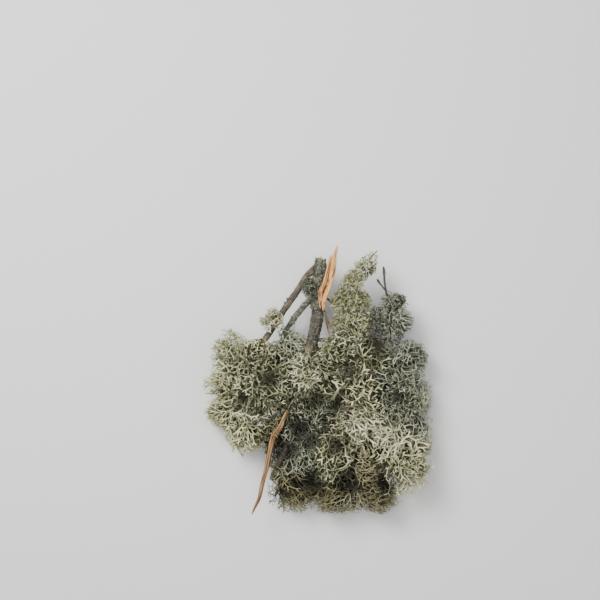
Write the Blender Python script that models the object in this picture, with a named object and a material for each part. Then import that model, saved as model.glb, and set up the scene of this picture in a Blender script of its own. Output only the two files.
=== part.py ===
"""A forked branch, torn from its tree and overgrown with oakmoss lichen, lying on a flat surface.

The torn heel of the branch is at +Y, its limbs fan out towards -Y, and +Z is up from the surface.
Routes are lists of points along a piece's axis: x and y in pixels of the photograph, then the
height of the axis above the surface and the radius there, both in millimetres.
"""

import itertools
import math

import bpy
import numpy as np

# Driving dimensions
PIXEL = 0.00105
MILLIMETRE = 0.001
TOUCHING_GAP = 0.0003
PHOTO_CENTRE = (315.0, 380.0)

# The stem, with its heel torn off at the top, and the limbs that part from it at its main forks
MAIN_STEM = [(320.5, 260, 34, 5.0), (320, 268, 34, 6.2), (318, 290, 33, 6.6), (317.5, 312, 32, 6.3),
             (315, 330, 31, 6.4), (311, 347, 30, 6.0)]
LOWER_STEM = [(311.5, 345, 30, 5.8), (306, 360, 29, 5.7), (303, 380, 27, 5.4), (300, 402, 26, 5.0),
              (295, 426, 25, 4.4), (285, 451, 23, 3.6), (271, 480, 20, 2.2)]
BROWN_LIMB = [(319, 264, 36, 3.3), (308, 275, 38, 3.6), (298, 290, 37, 3.5), (284, 310, 35, 3.4),
              (268, 335, 32, 3.4), (255, 352, 30, 3.1), (248, 374, 27, 2.5), (244, 396, 26, 1.9),
              (239, 412, 27, 1.5), (238, 424, 29, 1.1)]
GREY_LIMB = [(317, 293, 31, 3.2), (304, 306, 30, 3.1), (293, 320, 28, 3.0), (284, 334, 26, 2.3)]
THIN_TWIG = [(320, 294, 30, 1.3), (329, 300, 31, 1.2), (334, 306, 32, 1.1), (338, 313, 33, 0.8)]
CROSS_LIMB = [(313.5, 340, 31, 2.4), (330, 339.5, 33, 2.0), (345, 335, 34, 1.9), (368, 337, 33, 1.8),
              (391, 338, 32, 1.8)]
UPRIGHT_A = [(349, 335, 34, 1.6), (350, 318, 34, 1.5), (350, 296, 36, 1.4), (351, 285, 37, 1.2),
             (358, 272, 38, 1.0), (366, 262, 38, 0.9), (377, 251, 38, 0.6)]
UPRIGHT_B = [(389, 338, 32, 1.5), (390, 320, 33, 1.4), (389, 303, 34, 1.3), (386, 291, 35, 1.2),
             (384.5, 281, 35, 1.1), (384, 272, 36, 1.6), (383.5, 267, 36, 1.0)]
DOWN_TWIG_1 = [(352, 336, 34, 1.6), (352, 357, 32, 1.6), (352, 382, 30, 1.5), (350, 412, 28, 1.4),
               (347, 446, 27, 1.2), (350, 474, 26, 1.0), (357, 496, 26, 0.7)]
DOWN_TWIG_2 = [(388, 338, 32, 1.5), (394, 348, 31, 1.5), (399, 372, 29, 1.4), (406, 400, 28, 1.3),
               (405, 430, 27, 1.2), (401, 456, 26, 1.0), (404, 482, 26, 0.7)]
UPRIGHT_B_SIDE_TWIGS = {
    "left": [(386, 291, 35, 0.9), (381, 285, 36, 0.8), (377, 279, 37, 0.6)],
    "right": [(389, 305, 34, 0.9), (393, 302, 35, 0.8), (397, 297, 36, 0.5)],
}

# Torn wood, flat in section: the last two values are half the width and half the thickness
TORN_SLAT_LONG = [(337, 246, 44, 0.4, 0.3), (335.6, 252, 43.4, 1.5, 0.8), (334.2, 260, 42.9, 2.5, 1.3),
                  (332.6, 273, 42.5, 2.9, 1.5), (329.9, 283, 42.4, 2.5, 1.6), (327.3, 291, 42, 2.6, 1.6),
                  (325, 297, 41.7, 2.8, 1.5), (323.6, 303, 41.3, 2.3, 1.4), (323.4, 308, 40.8, 1.3, 0.9),
                  (323.4, 310.5, 40.5, 0.5, 0.4)]
TORN_SLAT_SHORT = [(330.6, 255, 42.5, 0.4, 0.4), (329.6, 261, 42.3, 1.6, 0.9), (326.9, 273, 42, 2.2, 1.2),
                   (324.1, 283, 42, 2.2, 1.3), (321.2, 290, 41.7, 2.4, 1.4), (320, 296, 41.3, 1.9, 1.1),
                   (320.1, 302, 40.8, 1.0, 0.8), (320.5, 308.5, 40.3, 0.4, 0.4)]
PEELED_STRIP_1 = [(324.9, 310, 37, 1.1, 0.5), (326.4, 317, 37.3, 1.6, 0.6), (329.6, 326, 38, 1.6, 0.6),
                  (333, 333, 38, 1.0, 0.4), (335.5, 337, 38, 0.4, 0.3)]
PEELED_STRIP_2 = [(325.4, 318, 33, 0.8, 0.5), (327.4, 327, 34, 1.1, 0.5), (330, 338, 35, 0.4, 0.3)]
LONG_SPLINTER = [(293.5, 401, 31.8, 0.5, 0.4), (289.5, 408, 33, 1.3, 0.8), (284, 418, 36, 1.7, 1.0),
                 (280.5, 427, 38.5, 2.3, 1.2), (274.5, 435, 40.5, 2.9, 1.4), (271.8, 443, 41.5, 2.9, 1.4),
                 (269, 455, 42, 2.6, 1.3), (266.5, 468, 42, 2.6, 1.4), (262.5, 483, 41.3, 2.4, 1.3),
                 (259.5, 497, 40.4, 2.1, 1.1), (254.5, 508, 39, 1.3, 0.7), (252, 514, 38, 0.4, 0.3)]

# Each lichen thallus on the wood it grows from: x, y, height, reach in millimetres, and its tint
TUFTS = {
    "main_stem": [(309, 286, 41, 16, "grey_green")],
    "grey_limb": [(293, 347, 25, 17, "grey_green")],
    "lower_stem": [(304, 371, 42, 19, "cream"), (328, 361, 27, 30, "yellow_green"),
                   (327, 390, 28, 29, "yellow_green"), (324, 420, 29, 27, "grey_green"),
                   (281, 387, 27, 27, "yellow_green"), (307, 452, 33, 27, "cream"),
                   (295, 485, 24, 27, "yellow_green"), (279, 438, 31, 23, "olive"),
                   (301, 413, 38, 17, "yellow_green")],
    "cross_limb": [(333, 348, 45, 16, "yellow_green")],
    "upright_a": [(345, 325, 41, 14, "yellow_green"), (359, 322, 41, 15, "yellow_green"),
                  (345, 304, 43, 13, "yellow_green"), (358, 302, 43, 13, "yellow_green"),
                  (352, 284, 44, 12, "yellow_green"), (366, 265, 42, 10, "yellow_green")],
    "upright_b": [(381, 320, 40, 15, "grey_green"), (400, 320, 40, 15, "grey_green"),
                  (395, 303, 40, 12, "grey_green")],
    "down_twig_1": [(368, 360, 34, 24, "cream"), (355, 391, 46, 22, "cream"),
                    (358, 421, 44, 26, "cream"), (330, 442, 40, 22, "cream"),
                    (367, 456, 33, 25, "olive"), (322, 467, 30, 24, "cream"),
                    (334, 487, 24, 25, "olive"), (371, 487, 26, 26, "olive")],
    "down_twig_2": [(380, 388, 29, 27, "grey_green"), (401, 360, 31, 24, "grey_green"),
                    (397, 401, 44, 22, "grey_green"), (383, 430, 36, 26, "cream"),
                    (412, 402, 26, 19, "grey_green"), (411, 441, 27, 20, "grey_green"),
                    (403, 470, 36, 23, "grey_green")],
    "brown_limb": [(273, 319, 46, 13, "cream"), (230, 354, 33, 22, "cream"),
                   (257, 350, 43, 14, "cream"), (274, 364, 28, 24, "yellow_green"),
                   (224, 384, 27, 24, "yellow_green"), (250, 383, 46, 21, "yellow_green"),
                   (264, 401, 24, 22, "yellow_green"), (225, 406, 25, 21, "yellow_green"),
                   (251, 436, 35, 21, "yellow_green")],
}

# Proportions of a thallus, as fractions of its reach; SHY is how far its heart keeps from the edge
# of its room, so that its lobes still stand out where neighbours crowd it, and SPREAD is how much
# wider than tall it is, pressed flat as the whole branch was
HEART = (0.40, 0.54)
CROTCH = 0.62
FORK = 0.74
TIP = (0.90, 1.0)
SHY = 0.25
SPREAD = 1.25
LOBES = 13
FLOOR_CORNER = -0.58
FLOOR_FACE = -0.8
FLOOR_SPREAD = 1.5
FLOOR_TUFT_HEIGHT = 27.5 * MILLIMETRE

COLOURS = {
    "bark_grey": (0.16, 0.14, 0.11),
    "bark_brown": (0.17, 0.10, 0.06),
    "torn_wood": (0.58, 0.30, 0.13),
    "cream": (0.55, 0.52, 0.34),
    "yellow_green": (0.38, 0.39, 0.20),
    "grey_green": (0.33, 0.37, 0.26),
    "olive": (0.27, 0.22, 0.10),
}
BARK_ROUGHNESS = 0.85
LICHEN_ROUGHNESS = 0.95


def clear_scene():
    for old in list(bpy.data.objects):
        bpy.data.objects.remove(old, do_unlink=True)


def material(name):
    found = bpy.data.materials.get(name)
    if found:
        return found
    made = bpy.data.materials.new(name)
    made.use_nodes = True
    shader = made.node_tree.nodes["Principled BSDF"]
    is_wood = name.startswith(("bark", "torn"))
    shader.inputs["Base Color"].default_value = (*COLOURS[name], 1.0)
    shader.inputs["Roughness"].default_value = BARK_ROUGHNESS if is_wood else LICHEN_ROUGHNESS
    shader.inputs["Metallic"].default_value = 0.0
    return made


def add_object(name, points, faces, material_name):
    mesh = bpy.data.meshes.new(name)
    mesh.from_pydata([tuple(p) for p in points], [], faces)
    mesh.update()
    piece = bpy.data.objects.new(name, mesh)
    mesh.materials.append(material(material_name))
    bpy.context.scene.collection.objects.link(piece)
    return piece


def in_metres(route):
    """A route's points as rows of x, y, z and its half sizes, all in metres."""
    rows = np.array(route, dtype=float)
    x = (rows[:, 0] - PHOTO_CENTRE[0]) * PIXEL
    y = (PHOTO_CENTRE[1] - rows[:, 1]) * PIXEL
    return np.column_stack([x, y, rows[:, 2:] * MILLIMETRE])


def smooth(route, spacing):
    """Rows a given distance apart along the Catmull-Rom curve through a route's points."""
    rows = in_metres(route)
    padded = np.vstack([2 * rows[0] - rows[1], rows, 2 * rows[-1] - rows[-2]])
    t = np.linspace(0, 1, 24, endpoint=False)[:, None]
    runs = []
    for a, b, c, d in zip(padded[:-3], padded[1:-2], padded[2:-1], padded[3:]):
        runs.append(0.5 * (2 * b + (c - a) * t + (2 * a - 5 * b + 4 * c - d) * t**2
                           + (3 * b - a - 3 * c + d) * t**3))
    curve = np.vstack(runs + [rows[-1:]])
    steps = np.linalg.norm(np.diff(curve[:, :3], axis=0), axis=1)
    along = np.concatenate([[0], np.cumsum(steps)])
    stops = np.linspace(0, along[-1], max(3, round(along[-1] / spacing) + 1))
    return np.column_stack([np.interp(stops, along, column) for column in curve.T])


def side_and_top(centres):
    """Unit vectors across a route: level and square to it, and the one that completes the frame."""
    run = np.gradient(centres, axis=0)
    run /= np.linalg.norm(run, axis=1)[:, None]
    side = np.cross(run, [0, 0, 1])
    side /= np.linalg.norm(side, axis=1)[:, None]
    return side, np.cross(side, run)


def loft(name, rings, material_name):
    """A closed skin over rings of points, with a low point in the middle of each end."""
    count, sides, _ = rings.shape
    points = rings.reshape(-1, 3)
    ends = np.array([rings[0].mean(axis=0), rings[-1].mean(axis=0)])
    faces = []
    for i in range(count - 1):
        for j in range(sides):
            a = i * sides + j
            b = i * sides + (j + 1) % sides
            faces.append((a, b, b + sides, a + sides))
    first, last = count * sides, count * sides + 1
    for j in range(sides):
        k = (j + 1) % sides
        faces.append((first, k, j))
        faces.append((last, last - 1 - sides + j, last - 1 - sides + k))
    return add_object(name, np.vstack([points, ends]), faces, material_name)


def limb_rings(route, spacing, sides, lumps, grow=0.0, seed=0):
    """Rings round a limb, whose bark stands out or sinks by a few percent from place to place."""
    rows = smooth(route, spacing)
    side, top = side_and_top(rows[:, :3])
    angle = -np.arange(sides) * 2 * math.pi / sides
    chance = np.random.default_rng(seed)
    swell = 1 + lumps * chance.uniform(-1, 1, (len(rows), sides))
    radius = rows[:, 3:4] * swell + grow
    ring = side[:, None, :] * np.cos(angle)[None, :, None]
    ring = ring + top[:, None, :] * np.sin(angle)[None, :, None]
    return rows[:, None, :3] + ring * radius[:, :, None]


def limb(name, route, spacing, sides, material_name, lumps=0.08, seed=0):
    rings = limb_rings(route, spacing, sides, lumps, seed=seed)
    return loft(name, rings, material_name)


def lath(name, route, spacing, seed, material_name="torn_wood", roll=0.0):
    """A strip of split wood: a flat section with a groove along its face and uneven edges."""
    rows = smooth(route, spacing)
    side, top = side_and_top(rows[:, :3])
    across = np.array([-1.0, -0.55, 0.0, 0.5, 1.0, 0.45, -0.5])
    up = np.array([0.1, 0.95, 0.45, 1.0, -0.1, -1.0, -0.9])
    chance = np.random.default_rng(seed)
    ragged = chance.uniform(0.86, 1.12, (len(rows), len(across)))
    wide = across * rows[:, 3:4] * ragged
    tall = up * rows[:, 4:5] * ragged
    turned_wide = wide * math.cos(roll) - tall * math.sin(roll)
    turned_tall = wide * math.sin(roll) + tall * math.cos(roll)
    rings = rows[:, None, :3] + side[:, None, :] * turned_wide[:, :, None]
    rings = rings + top[:, None, :] * turned_tall[:, :, None]
    return loft(name, rings, material_name)


def use_boolean(piece, other, operation):
    other.hide_render = True
    other.display_type = "WIRE"
    step = piece.modifiers.new(operation.lower() + "_" + other.name, "BOOLEAN")
    step.operation = operation
    step.solver = "EXACT"
    step.object = other


def seat_on(piece, parent_route, sides, name, lumps=0.08):
    """Cuts a limb's hidden start back to its parent's bark, leaving the gap of touching pieces."""
    grow = TOUCHING_GAP + lumps * max(point[3] for point in parent_route) * MILLIMETRE
    rings = limb_rings(parent_route, 0.006, sides, 0.0, grow=grow)
    for end, inner in ((0, 1), (-1, -2)):
        outward = unit(rings[end].mean(axis=0) - rings[inner].mean(axis=0))
        rings[end] += outward * TOUCHING_GAP
    use_boolean(piece, loft("cutter_" + name, rings, "bark_grey"), "DIFFERENCE")


def build_wood():
    limb("main_stem", MAIN_STEM, 0.0085, 10, "bark_grey", lumps=0.07, seed=1)
    lower = limb("lower_stem", LOWER_STEM, 0.0135, 8, "bark_brown", lumps=0.07, seed=2)
    seat_on(lower, MAIN_STEM, 12, "lower_stem", lumps=0.07)
    brown = limb("brown_limb", BROWN_LIMB, 0.0165, 7, "bark_brown", seed=3)
    seat_on(brown, MAIN_STEM, 12, "brown_limb", lumps=0.07)
    grey = limb("grey_limb", GREY_LIMB, 0.010, 7, "bark_grey", lumps=0.12, seed=4)
    seat_on(grey, MAIN_STEM, 12, "grey_limb", lumps=0.07)
    twig = limb("thin_twig", THIN_TWIG, 0.007, 6, "bark_grey", seed=5)
    seat_on(twig, MAIN_STEM, 12, "thin_twig", lumps=0.07)

    cross = limb("cross_limb", CROSS_LIMB, 0.013, 6, "bark_grey", seed=6)
    seat_on(cross, MAIN_STEM, 12, "cross_limb", lumps=0.07)
    branches = {"upright_a": UPRIGHT_A, "upright_b": UPRIGHT_B,
                "down_twig_1": DOWN_TWIG_1, "down_twig_2": DOWN_TWIG_2}
    for number, (name, route) in enumerate(branches.items()):
        branch = limb(name, route, 0.014, 5, "bark_grey", seed=10 + number)
        seat_on(branch, CROSS_LIMB, 8, name)
        if name == "upright_b":
            seat_on(branch, DOWN_TWIG_2, 8, "upright_b_fork")
            for place, side_route in UPRIGHT_B_SIDE_TWIGS.items():
                use_boolean(branch, limb("side_twig_" + place, side_route, 0.005, 5, "bark_grey"),
                            "UNION")


def build_torn_wood():
    lath("torn_slat_long", TORN_SLAT_LONG, 0.0085, seed=21, roll=-0.15)
    lath("torn_slat_short", TORN_SLAT_SHORT, 0.0065, seed=22, roll=0.12)
    lath("peeled_strip_1", PEELED_STRIP_1, 0.007, seed=23, roll=0.5, material_name="bark_brown")
    lath("peeled_strip_2", PEELED_STRIP_2, 0.007, seed=24, roll=0.4, material_name="bark_brown")
    lath("long_splinter", LONG_SPLINTER, 0.0098, seed=25, roll=0.2)


def wood_balls():
    """Balls that cover every wooden piece: rows of x, y, z and radius, by the piece's name."""
    limbs = {"main_stem": MAIN_STEM, "lower_stem": LOWER_STEM, "brown_limb": BROWN_LIMB,
             "grey_limb": GREY_LIMB, "thin_twig": THIN_TWIG, "cross_limb": CROSS_LIMB,
             "upright_a": UPRIGHT_A, "upright_b": UPRIGHT_B, "down_twig_1": DOWN_TWIG_1,
             "down_twig_2": DOWN_TWIG_2, "side_left": UPRIGHT_B_SIDE_TWIGS["left"],
             "side_right": UPRIGHT_B_SIDE_TWIGS["right"]}
    laths = {"torn_slat_long": TORN_SLAT_LONG, "torn_slat_short": TORN_SLAT_SHORT,
             "peeled_strip_1": PEELED_STRIP_1, "peeled_strip_2": PEELED_STRIP_2,
             "long_splinter": LONG_SPLINTER}
    balls = {}
    for name, route in {**limbs, **laths}.items():
        rows = smooth(route, 0.0009)[:, :4]
        rows[:, 3] = rows[:, 3] * 1.13 + TOUCHING_GAP
        balls[name] = rows
    return balls


class Room:
    """The convex space that one thallus may fill, bounded by planes square to lines from its middle."""

    def __init__(self, middle):
        self.middle = middle
        self.normals = [np.array([0.0, 0.0, -1.0])]
        self.offsets = [middle[2]]

    def keep_from_balls(self, rows):
        away = rows[:, :3] - self.middle
        distance = np.linalg.norm(away, axis=1)
        self.normals.extend(away / distance[:, None])
        self.offsets.extend(distance - rows[:, 3])

    def share_with(self, other_middle, reach, other_reach):
        away = other_middle - self.middle
        distance = np.linalg.norm(away)
        if distance < SPREAD * (reach + other_reach):
            share = distance * reach / (reach + other_reach)
            self.normals.append(away / distance)
            self.offsets.append(share - TOUCHING_GAP / 2)

    def limit(self, directions):
        """How far the space reaches from its middle along each direction."""
        facing = directions @ np.array(self.normals).T
        offsets = np.array(self.offsets)[None, :]
        reach = np.where(facing > 1e-6, offsets / np.maximum(facing, 1e-6), np.inf)
        return reach.min(axis=1)


def unit(vectors):
    return vectors / np.linalg.norm(vectors, axis=-1, keepdims=True)


def heart_directions(towards, spin):
    """The 12 corners of an icosahedron, its first corner turned to face a direction, and its faces."""
    ratio = (1 + math.sqrt(5)) / 2
    corners = []
    for a in (-1, 1):
        for b in (-ratio, ratio):
            corners += [(0, a, b), (a, b, 0), (b, 0, a)]
    corners = unit(np.array(corners))
    apart = np.linalg.norm(corners[:, None] - corners[None], axis=2)
    near = (apart > 0.5) & (apart < 1.2)
    faces = []
    for i, j, k in itertools.combinations(range(len(corners)), 3):
        if near[i, j] and near[j, k] and near[i, k]:
            turn = np.dot(np.cross(corners[j] - corners[i], corners[k] - corners[i]), corners[i])
            faces.append((i, j, k) if turn > 0 else (i, k, j))

    helper = np.array([0.3, 0.7, 0.2]) if abs(towards[2]) > 0.9 else np.array([0.0, 0.0, 1.0])
    first = unit(np.cross(helper, towards))
    second = np.cross(towards, first)
    frame = np.array([math.cos(spin) * first + math.sin(spin) * second,
                      -math.sin(spin) * first + math.cos(spin) * second, towards])
    own_first = unit(np.cross([0.1, 0.2, 0.9], corners[0]))
    own = np.array([own_first, np.cross(corners[0], own_first), corners[0]])
    return corners @ own.T @ frame, faces


def lobe(points, fractions, faces, face, turn, chance):
    """Grows a flat forked lobe from a face of the heart: a tapered strap that ends in two tips."""
    i, j, k = face[turn:] + face[:turn]
    axis = unit(points[i] + points[j] + points[k])
    a, b, c, m, tip_1, tip_2 = range(len(points), len(points) + 6)
    grip = chance.uniform(0.34, 0.5)
    left = unit(points[i] * (1 - grip) + axis * grip)
    right = unit(points[j] * (1 - grip) + axis * grip)
    crotch = unit(left + right)
    back = unit(crotch * 0.55 + points[k] * 0.45)
    spread = chance.uniform(0.5, 0.85)
    tips = [unit(left * (1 - spread) + points[i] * spread),
            unit(right * (1 - spread) + points[j] * spread)]
    points += [left, right, back, crotch] + tips
    lift = chance.uniform(-0.05, 0.05)
    length = chance.uniform(*TIP, 2)
    fractions += [FORK + lift, FORK + lift, FORK + lift, CROTCH + lift, length[0], length[1]]
    faces.remove(face)
    faces += [(i, j, m), (i, m, a), (j, b, m), (j, k, c), (j, c, b), (k, i, a), (k, a, c)]
    faces += [(a, m, tip_1), (m, c, tip_1), (c, a, tip_1)]
    faces += [(m, b, tip_2), (b, c, tip_2), (c, m, tip_2)]


def tuft(name, spot, room, holdfast, tint, seed):
    """A thallus: a heart that reaches to its twig and the floor, with forked lobes on its free side."""
    middle, reach = spot[:3], spot[3]
    chance = np.random.default_rng(seed)
    to_wood = holdfast[:3] - middle
    wood_distance = np.linalg.norm(to_wood) - holdfast[3]
    towards = unit(to_wood)
    rests = middle[2] < FLOOR_TUFT_HEIGHT

    def lowest_face(spin):
        corners, sides = heart_directions(towards, spin)
        return min(unit(corners[list(side)].sum(axis=0))[2] for side in sides)

    spins = chance.uniform(0, 2 * math.pi, 12)
    spin = min(spins, key=lowest_face) if rests else spins[0]
    corners, faces = heart_directions(towards, spin)

    on_floor = rests & (corners[:, 2] < FLOOR_CORNER)
    fractions = list(np.where(on_floor, FLOOR_SPREAD, chance.uniform(*HEART, len(corners))))
    points = list(corners)
    axes = unit(np.array([corners[list(face)].sum(axis=0) for face in faces]))
    freedom = np.minimum(room.limit(axes) / reach, 0.95)
    order = np.argsort(-freedom - 0.05 * chance.uniform(0, 1, len(faces)))
    grown = 0
    for n, face in [(n, faces[n]) for n in order]:
        hidden = axes[n] @ towards > 0.7 or (rests and axes[n][2] < FLOOR_FACE)
        if not hidden and grown < LOBES:
            lobe(points, fractions, faces, face, int(chance.integers(3)), chance)
            grown += 1

    directions = np.array(points)
    fractions = np.array(fractions)
    shy = 1 - SHY * np.maximum(1 - fractions, 0)
    spread = 1 / np.hypot(np.linalg.norm(directions[:, :2], axis=1) / SPREAD, directions[:, 2])
    lengths = np.minimum(reach * fractions * spread, room.limit(directions) * shy)
    lengths[0] = min(wood_distance, room.limit(directions[:1])[0])
    places = middle + directions * lengths[:, None]
    places[np.abs(places[:, 2]) < 1e-6, 2] = 0.0
    return add_object(name, places, faces, tint)


def build_lichen():
    balls = wood_balls()
    spots = []
    for host, rows in TUFTS.items():
        for number, row in enumerate(rows, 1):
            spots.append((f"lichen_{host}_{number}", host, in_metres([row[:4]])[0], row[4]))
    for seed, (name, host, spot, tint) in enumerate(spots):
        room = Room(spot[:3])
        for rows in balls.values():
            room.keep_from_balls(rows)
        for other_name, _, other, _ in spots:
            if other_name != name:
                room.share_with(other[:3], spot[3], other[3])
        rows = balls[host]
        nearest = np.argmin(np.linalg.norm(rows[:, :3] - spot[:3], axis=1) - rows[:, 3])
        tuft(name, spot, room, rows[nearest], tint, 100 + seed)


def centre_on_origin():
    """Moves every piece so that the middle of the whole thing's footprint is at the origin."""
    pieces = [piece for piece in bpy.data.objects if not piece.hide_render]
    corners = []
    for piece in pieces:
        places = np.array([vertex.co[:] for vertex in piece.data.vertices])
        corners += [places.min(axis=0), places.max(axis=0)]
    corners = np.array(corners)
    middle = (corners.min(axis=0) + corners.max(axis=0)) / 2
    for piece in bpy.data.objects:
        piece.location = (-middle[0], -middle[1], 0.0)


clear_scene()
build_wood()
build_torn_wood()
build_lichen()
centre_on_origin()
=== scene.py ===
"""A forked branch overgrown with oakmoss lichen, laid on a pale surface and seen from above."""

import math

import bpy
import numpy as np
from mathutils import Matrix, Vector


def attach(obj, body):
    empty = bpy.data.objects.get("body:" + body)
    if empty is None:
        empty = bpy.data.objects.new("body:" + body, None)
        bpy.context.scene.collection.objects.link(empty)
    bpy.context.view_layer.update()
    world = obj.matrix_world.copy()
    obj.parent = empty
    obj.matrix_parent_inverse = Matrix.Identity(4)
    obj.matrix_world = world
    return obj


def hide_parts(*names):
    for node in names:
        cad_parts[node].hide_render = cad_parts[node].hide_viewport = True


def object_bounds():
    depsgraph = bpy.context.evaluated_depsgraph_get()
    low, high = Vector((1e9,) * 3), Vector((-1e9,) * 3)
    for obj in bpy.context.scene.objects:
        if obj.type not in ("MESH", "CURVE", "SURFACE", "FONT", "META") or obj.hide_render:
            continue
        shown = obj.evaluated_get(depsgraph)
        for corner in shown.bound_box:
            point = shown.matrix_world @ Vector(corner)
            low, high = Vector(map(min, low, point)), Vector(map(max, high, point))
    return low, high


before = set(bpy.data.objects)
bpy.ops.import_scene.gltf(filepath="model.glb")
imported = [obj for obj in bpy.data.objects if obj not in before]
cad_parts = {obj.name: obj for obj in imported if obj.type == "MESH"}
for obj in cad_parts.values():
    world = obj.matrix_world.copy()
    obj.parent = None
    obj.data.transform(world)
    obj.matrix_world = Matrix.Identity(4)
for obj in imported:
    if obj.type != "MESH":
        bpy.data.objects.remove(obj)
cad_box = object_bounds()


# The main stem: a stick 13 mm thick with its bark on, torn from the tree at its upper end.
# Its bark is grey-green with crusty lichen near the tear, and scaly and red-brown lower down.
# A route's rows are x and y in pixels of the photograph, then the height and the radius in mm.
MM = 0.001
PIXEL = 0.00105
MIDDLE_PIXEL = (315.2544, 381.1106)
MAIN_STEM = [(320.5, 260, 34, 5.0), (320, 268, 34, 6.2), (318, 290, 33, 6.6), (317.5, 312, 32, 6.3),
             (315, 330, 31, 6.4), (311, 347, 30, 6.0)]


def in_metres(route):
    """A route's rows in metres, with the middle pixel at x = y = 0: x + right, y + up the photograph."""
    rows = np.array(route, dtype=float)
    x = (rows[:, 0] - MIDDLE_PIXEL[0]) * PIXEL
    y = (MIDDLE_PIXEL[1] - rows[:, 1]) * PIXEL
    return np.column_stack([x, y, rows[:, 2:] * MM])


CURVE_STEPS = 24


def smooth(route, spacing):
    """Rows a given distance apart on the Catmull-Rom curve
    (2b + (c-a)t + (2a-5b+4c-d)t^2 + (3b-a-3c+d)t^3) / 2 through a route's points."""
    rows = in_metres(route)
    padded = np.vstack([2 * rows[0] - rows[1], rows, 2 * rows[-1] - rows[-2]])
    t = np.linspace(0, 1, CURVE_STEPS, endpoint=False)[None, :, None]
    a, b, c, d = (padded[n:len(padded) - 3 + n, None] for n in range(4))
    runs = 0.5 * (2 * b + (c - a) * t + (2 * a - 5 * b + 4 * c - d) * t**2
                  + (3 * b - a - 3 * c + d) * t**3)
    curve = np.vstack([runs.reshape(-1, rows.shape[1]), rows[-1:]])
    along = np.concatenate([[0], np.cumsum(np.linalg.norm(np.diff(curve[:, :3], axis=0), axis=1))])
    stops = np.linspace(0, along[-1], max(3, round(along[-1] / spacing) + 1))
    return np.column_stack([np.interp(stops, along, column) for column in curve.T])


def unit(vectors):
    """Each vector divided by its length."""
    return vectors / np.maximum(np.linalg.norm(vectors, axis=-1, keepdims=True), 1e-12)


# How many numbers the lattice shares, its shift in cells, and how far apart in the list the numbers of
# neighbouring corners are
LATTICE_VALUES = 4096
LATTICE_SHIFT = 97.3
LATTICE_STEPS = np.array([73, 179, 283])


def lumps(points, size, seed):
    """Smooth noise from -1 to 1: random values on a lattice of that cell size, blended by 3t^2 - 2t^3."""
    chance = np.random.default_rng(seed)
    table = chance.uniform(-1, 1, LATTICE_VALUES)
    cell = points / size + LATTICE_SHIFT
    low = np.floor(cell).astype(int)
    t = cell - low
    t = t * t * (3 - 2 * t)
    total = 0.0
    for corner in np.ndindex(2, 2, 2):
        value = table[((low + corner) * LATTICE_STEPS).sum(axis=-1) % LATTICE_VALUES]
        weight = np.prod(np.where(np.array(corner) == 1, t, 1 - t), axis=-1)
        total = total + value * weight
    return total


def build_mesh(name, points, blocks, attributes=None):
    """A mesh object from points and blocks of faces, with one named number a point where given."""
    mesh = bpy.data.meshes.new(name)
    mesh.from_pydata(points.tolist(), [], [face for block in blocks for face in block.tolist()])
    for key, values in (attributes or {}).items():
        layer = mesh.attributes.new(key, "FLOAT", "POINT")
        layer.data.foreach_set("value", np.asarray(values, dtype=np.float32))
    mesh.shade_smooth()
    mesh.update()
    piece = bpy.data.objects.new(name, mesh)
    bpy.context.scene.collection.objects.link(piece)
    return piece


def wooden_frame(rows):
    """Unit vectors along, across and above each row of a route."""
    along = unit(np.gradient(rows[:, :3], axis=0))
    across = unit(np.cross(along, [0, 0, 1]))
    return along, across, np.cross(across, along)


def tube_faces(rings, sides):
    """Three blocks of faces: quads from each ring of points to the next, and at either end a fan onto a
    point of its own. The points are numbered ring by ring, with the two end points last."""
    index = np.arange(rings * sides).reshape(rings, sides)
    beside = np.roll(index, -1, axis=1)
    quads = np.stack([index[:-1], beside[:-1], beside[1:], index[1:]], axis=-1).reshape(-1, 4)
    first = np.stack([np.full(sides, rings * sides), beside[0], index[0]], axis=-1)
    last = np.stack([np.full(sides, rings * sides + 1), index[-1], beside[-1]], axis=-1)
    return quads, first, last


# The noise level below which a crack shows between scales, the size of a tear's teeth, how deep the tear
# goes, and the width of a streak
SCALE_EDGE = 0.16
TOOTH = 1.6 * MM
TEAR_DEPTH = 5 * MM
STREAK_WIDTH = 1.2 * MM


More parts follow.
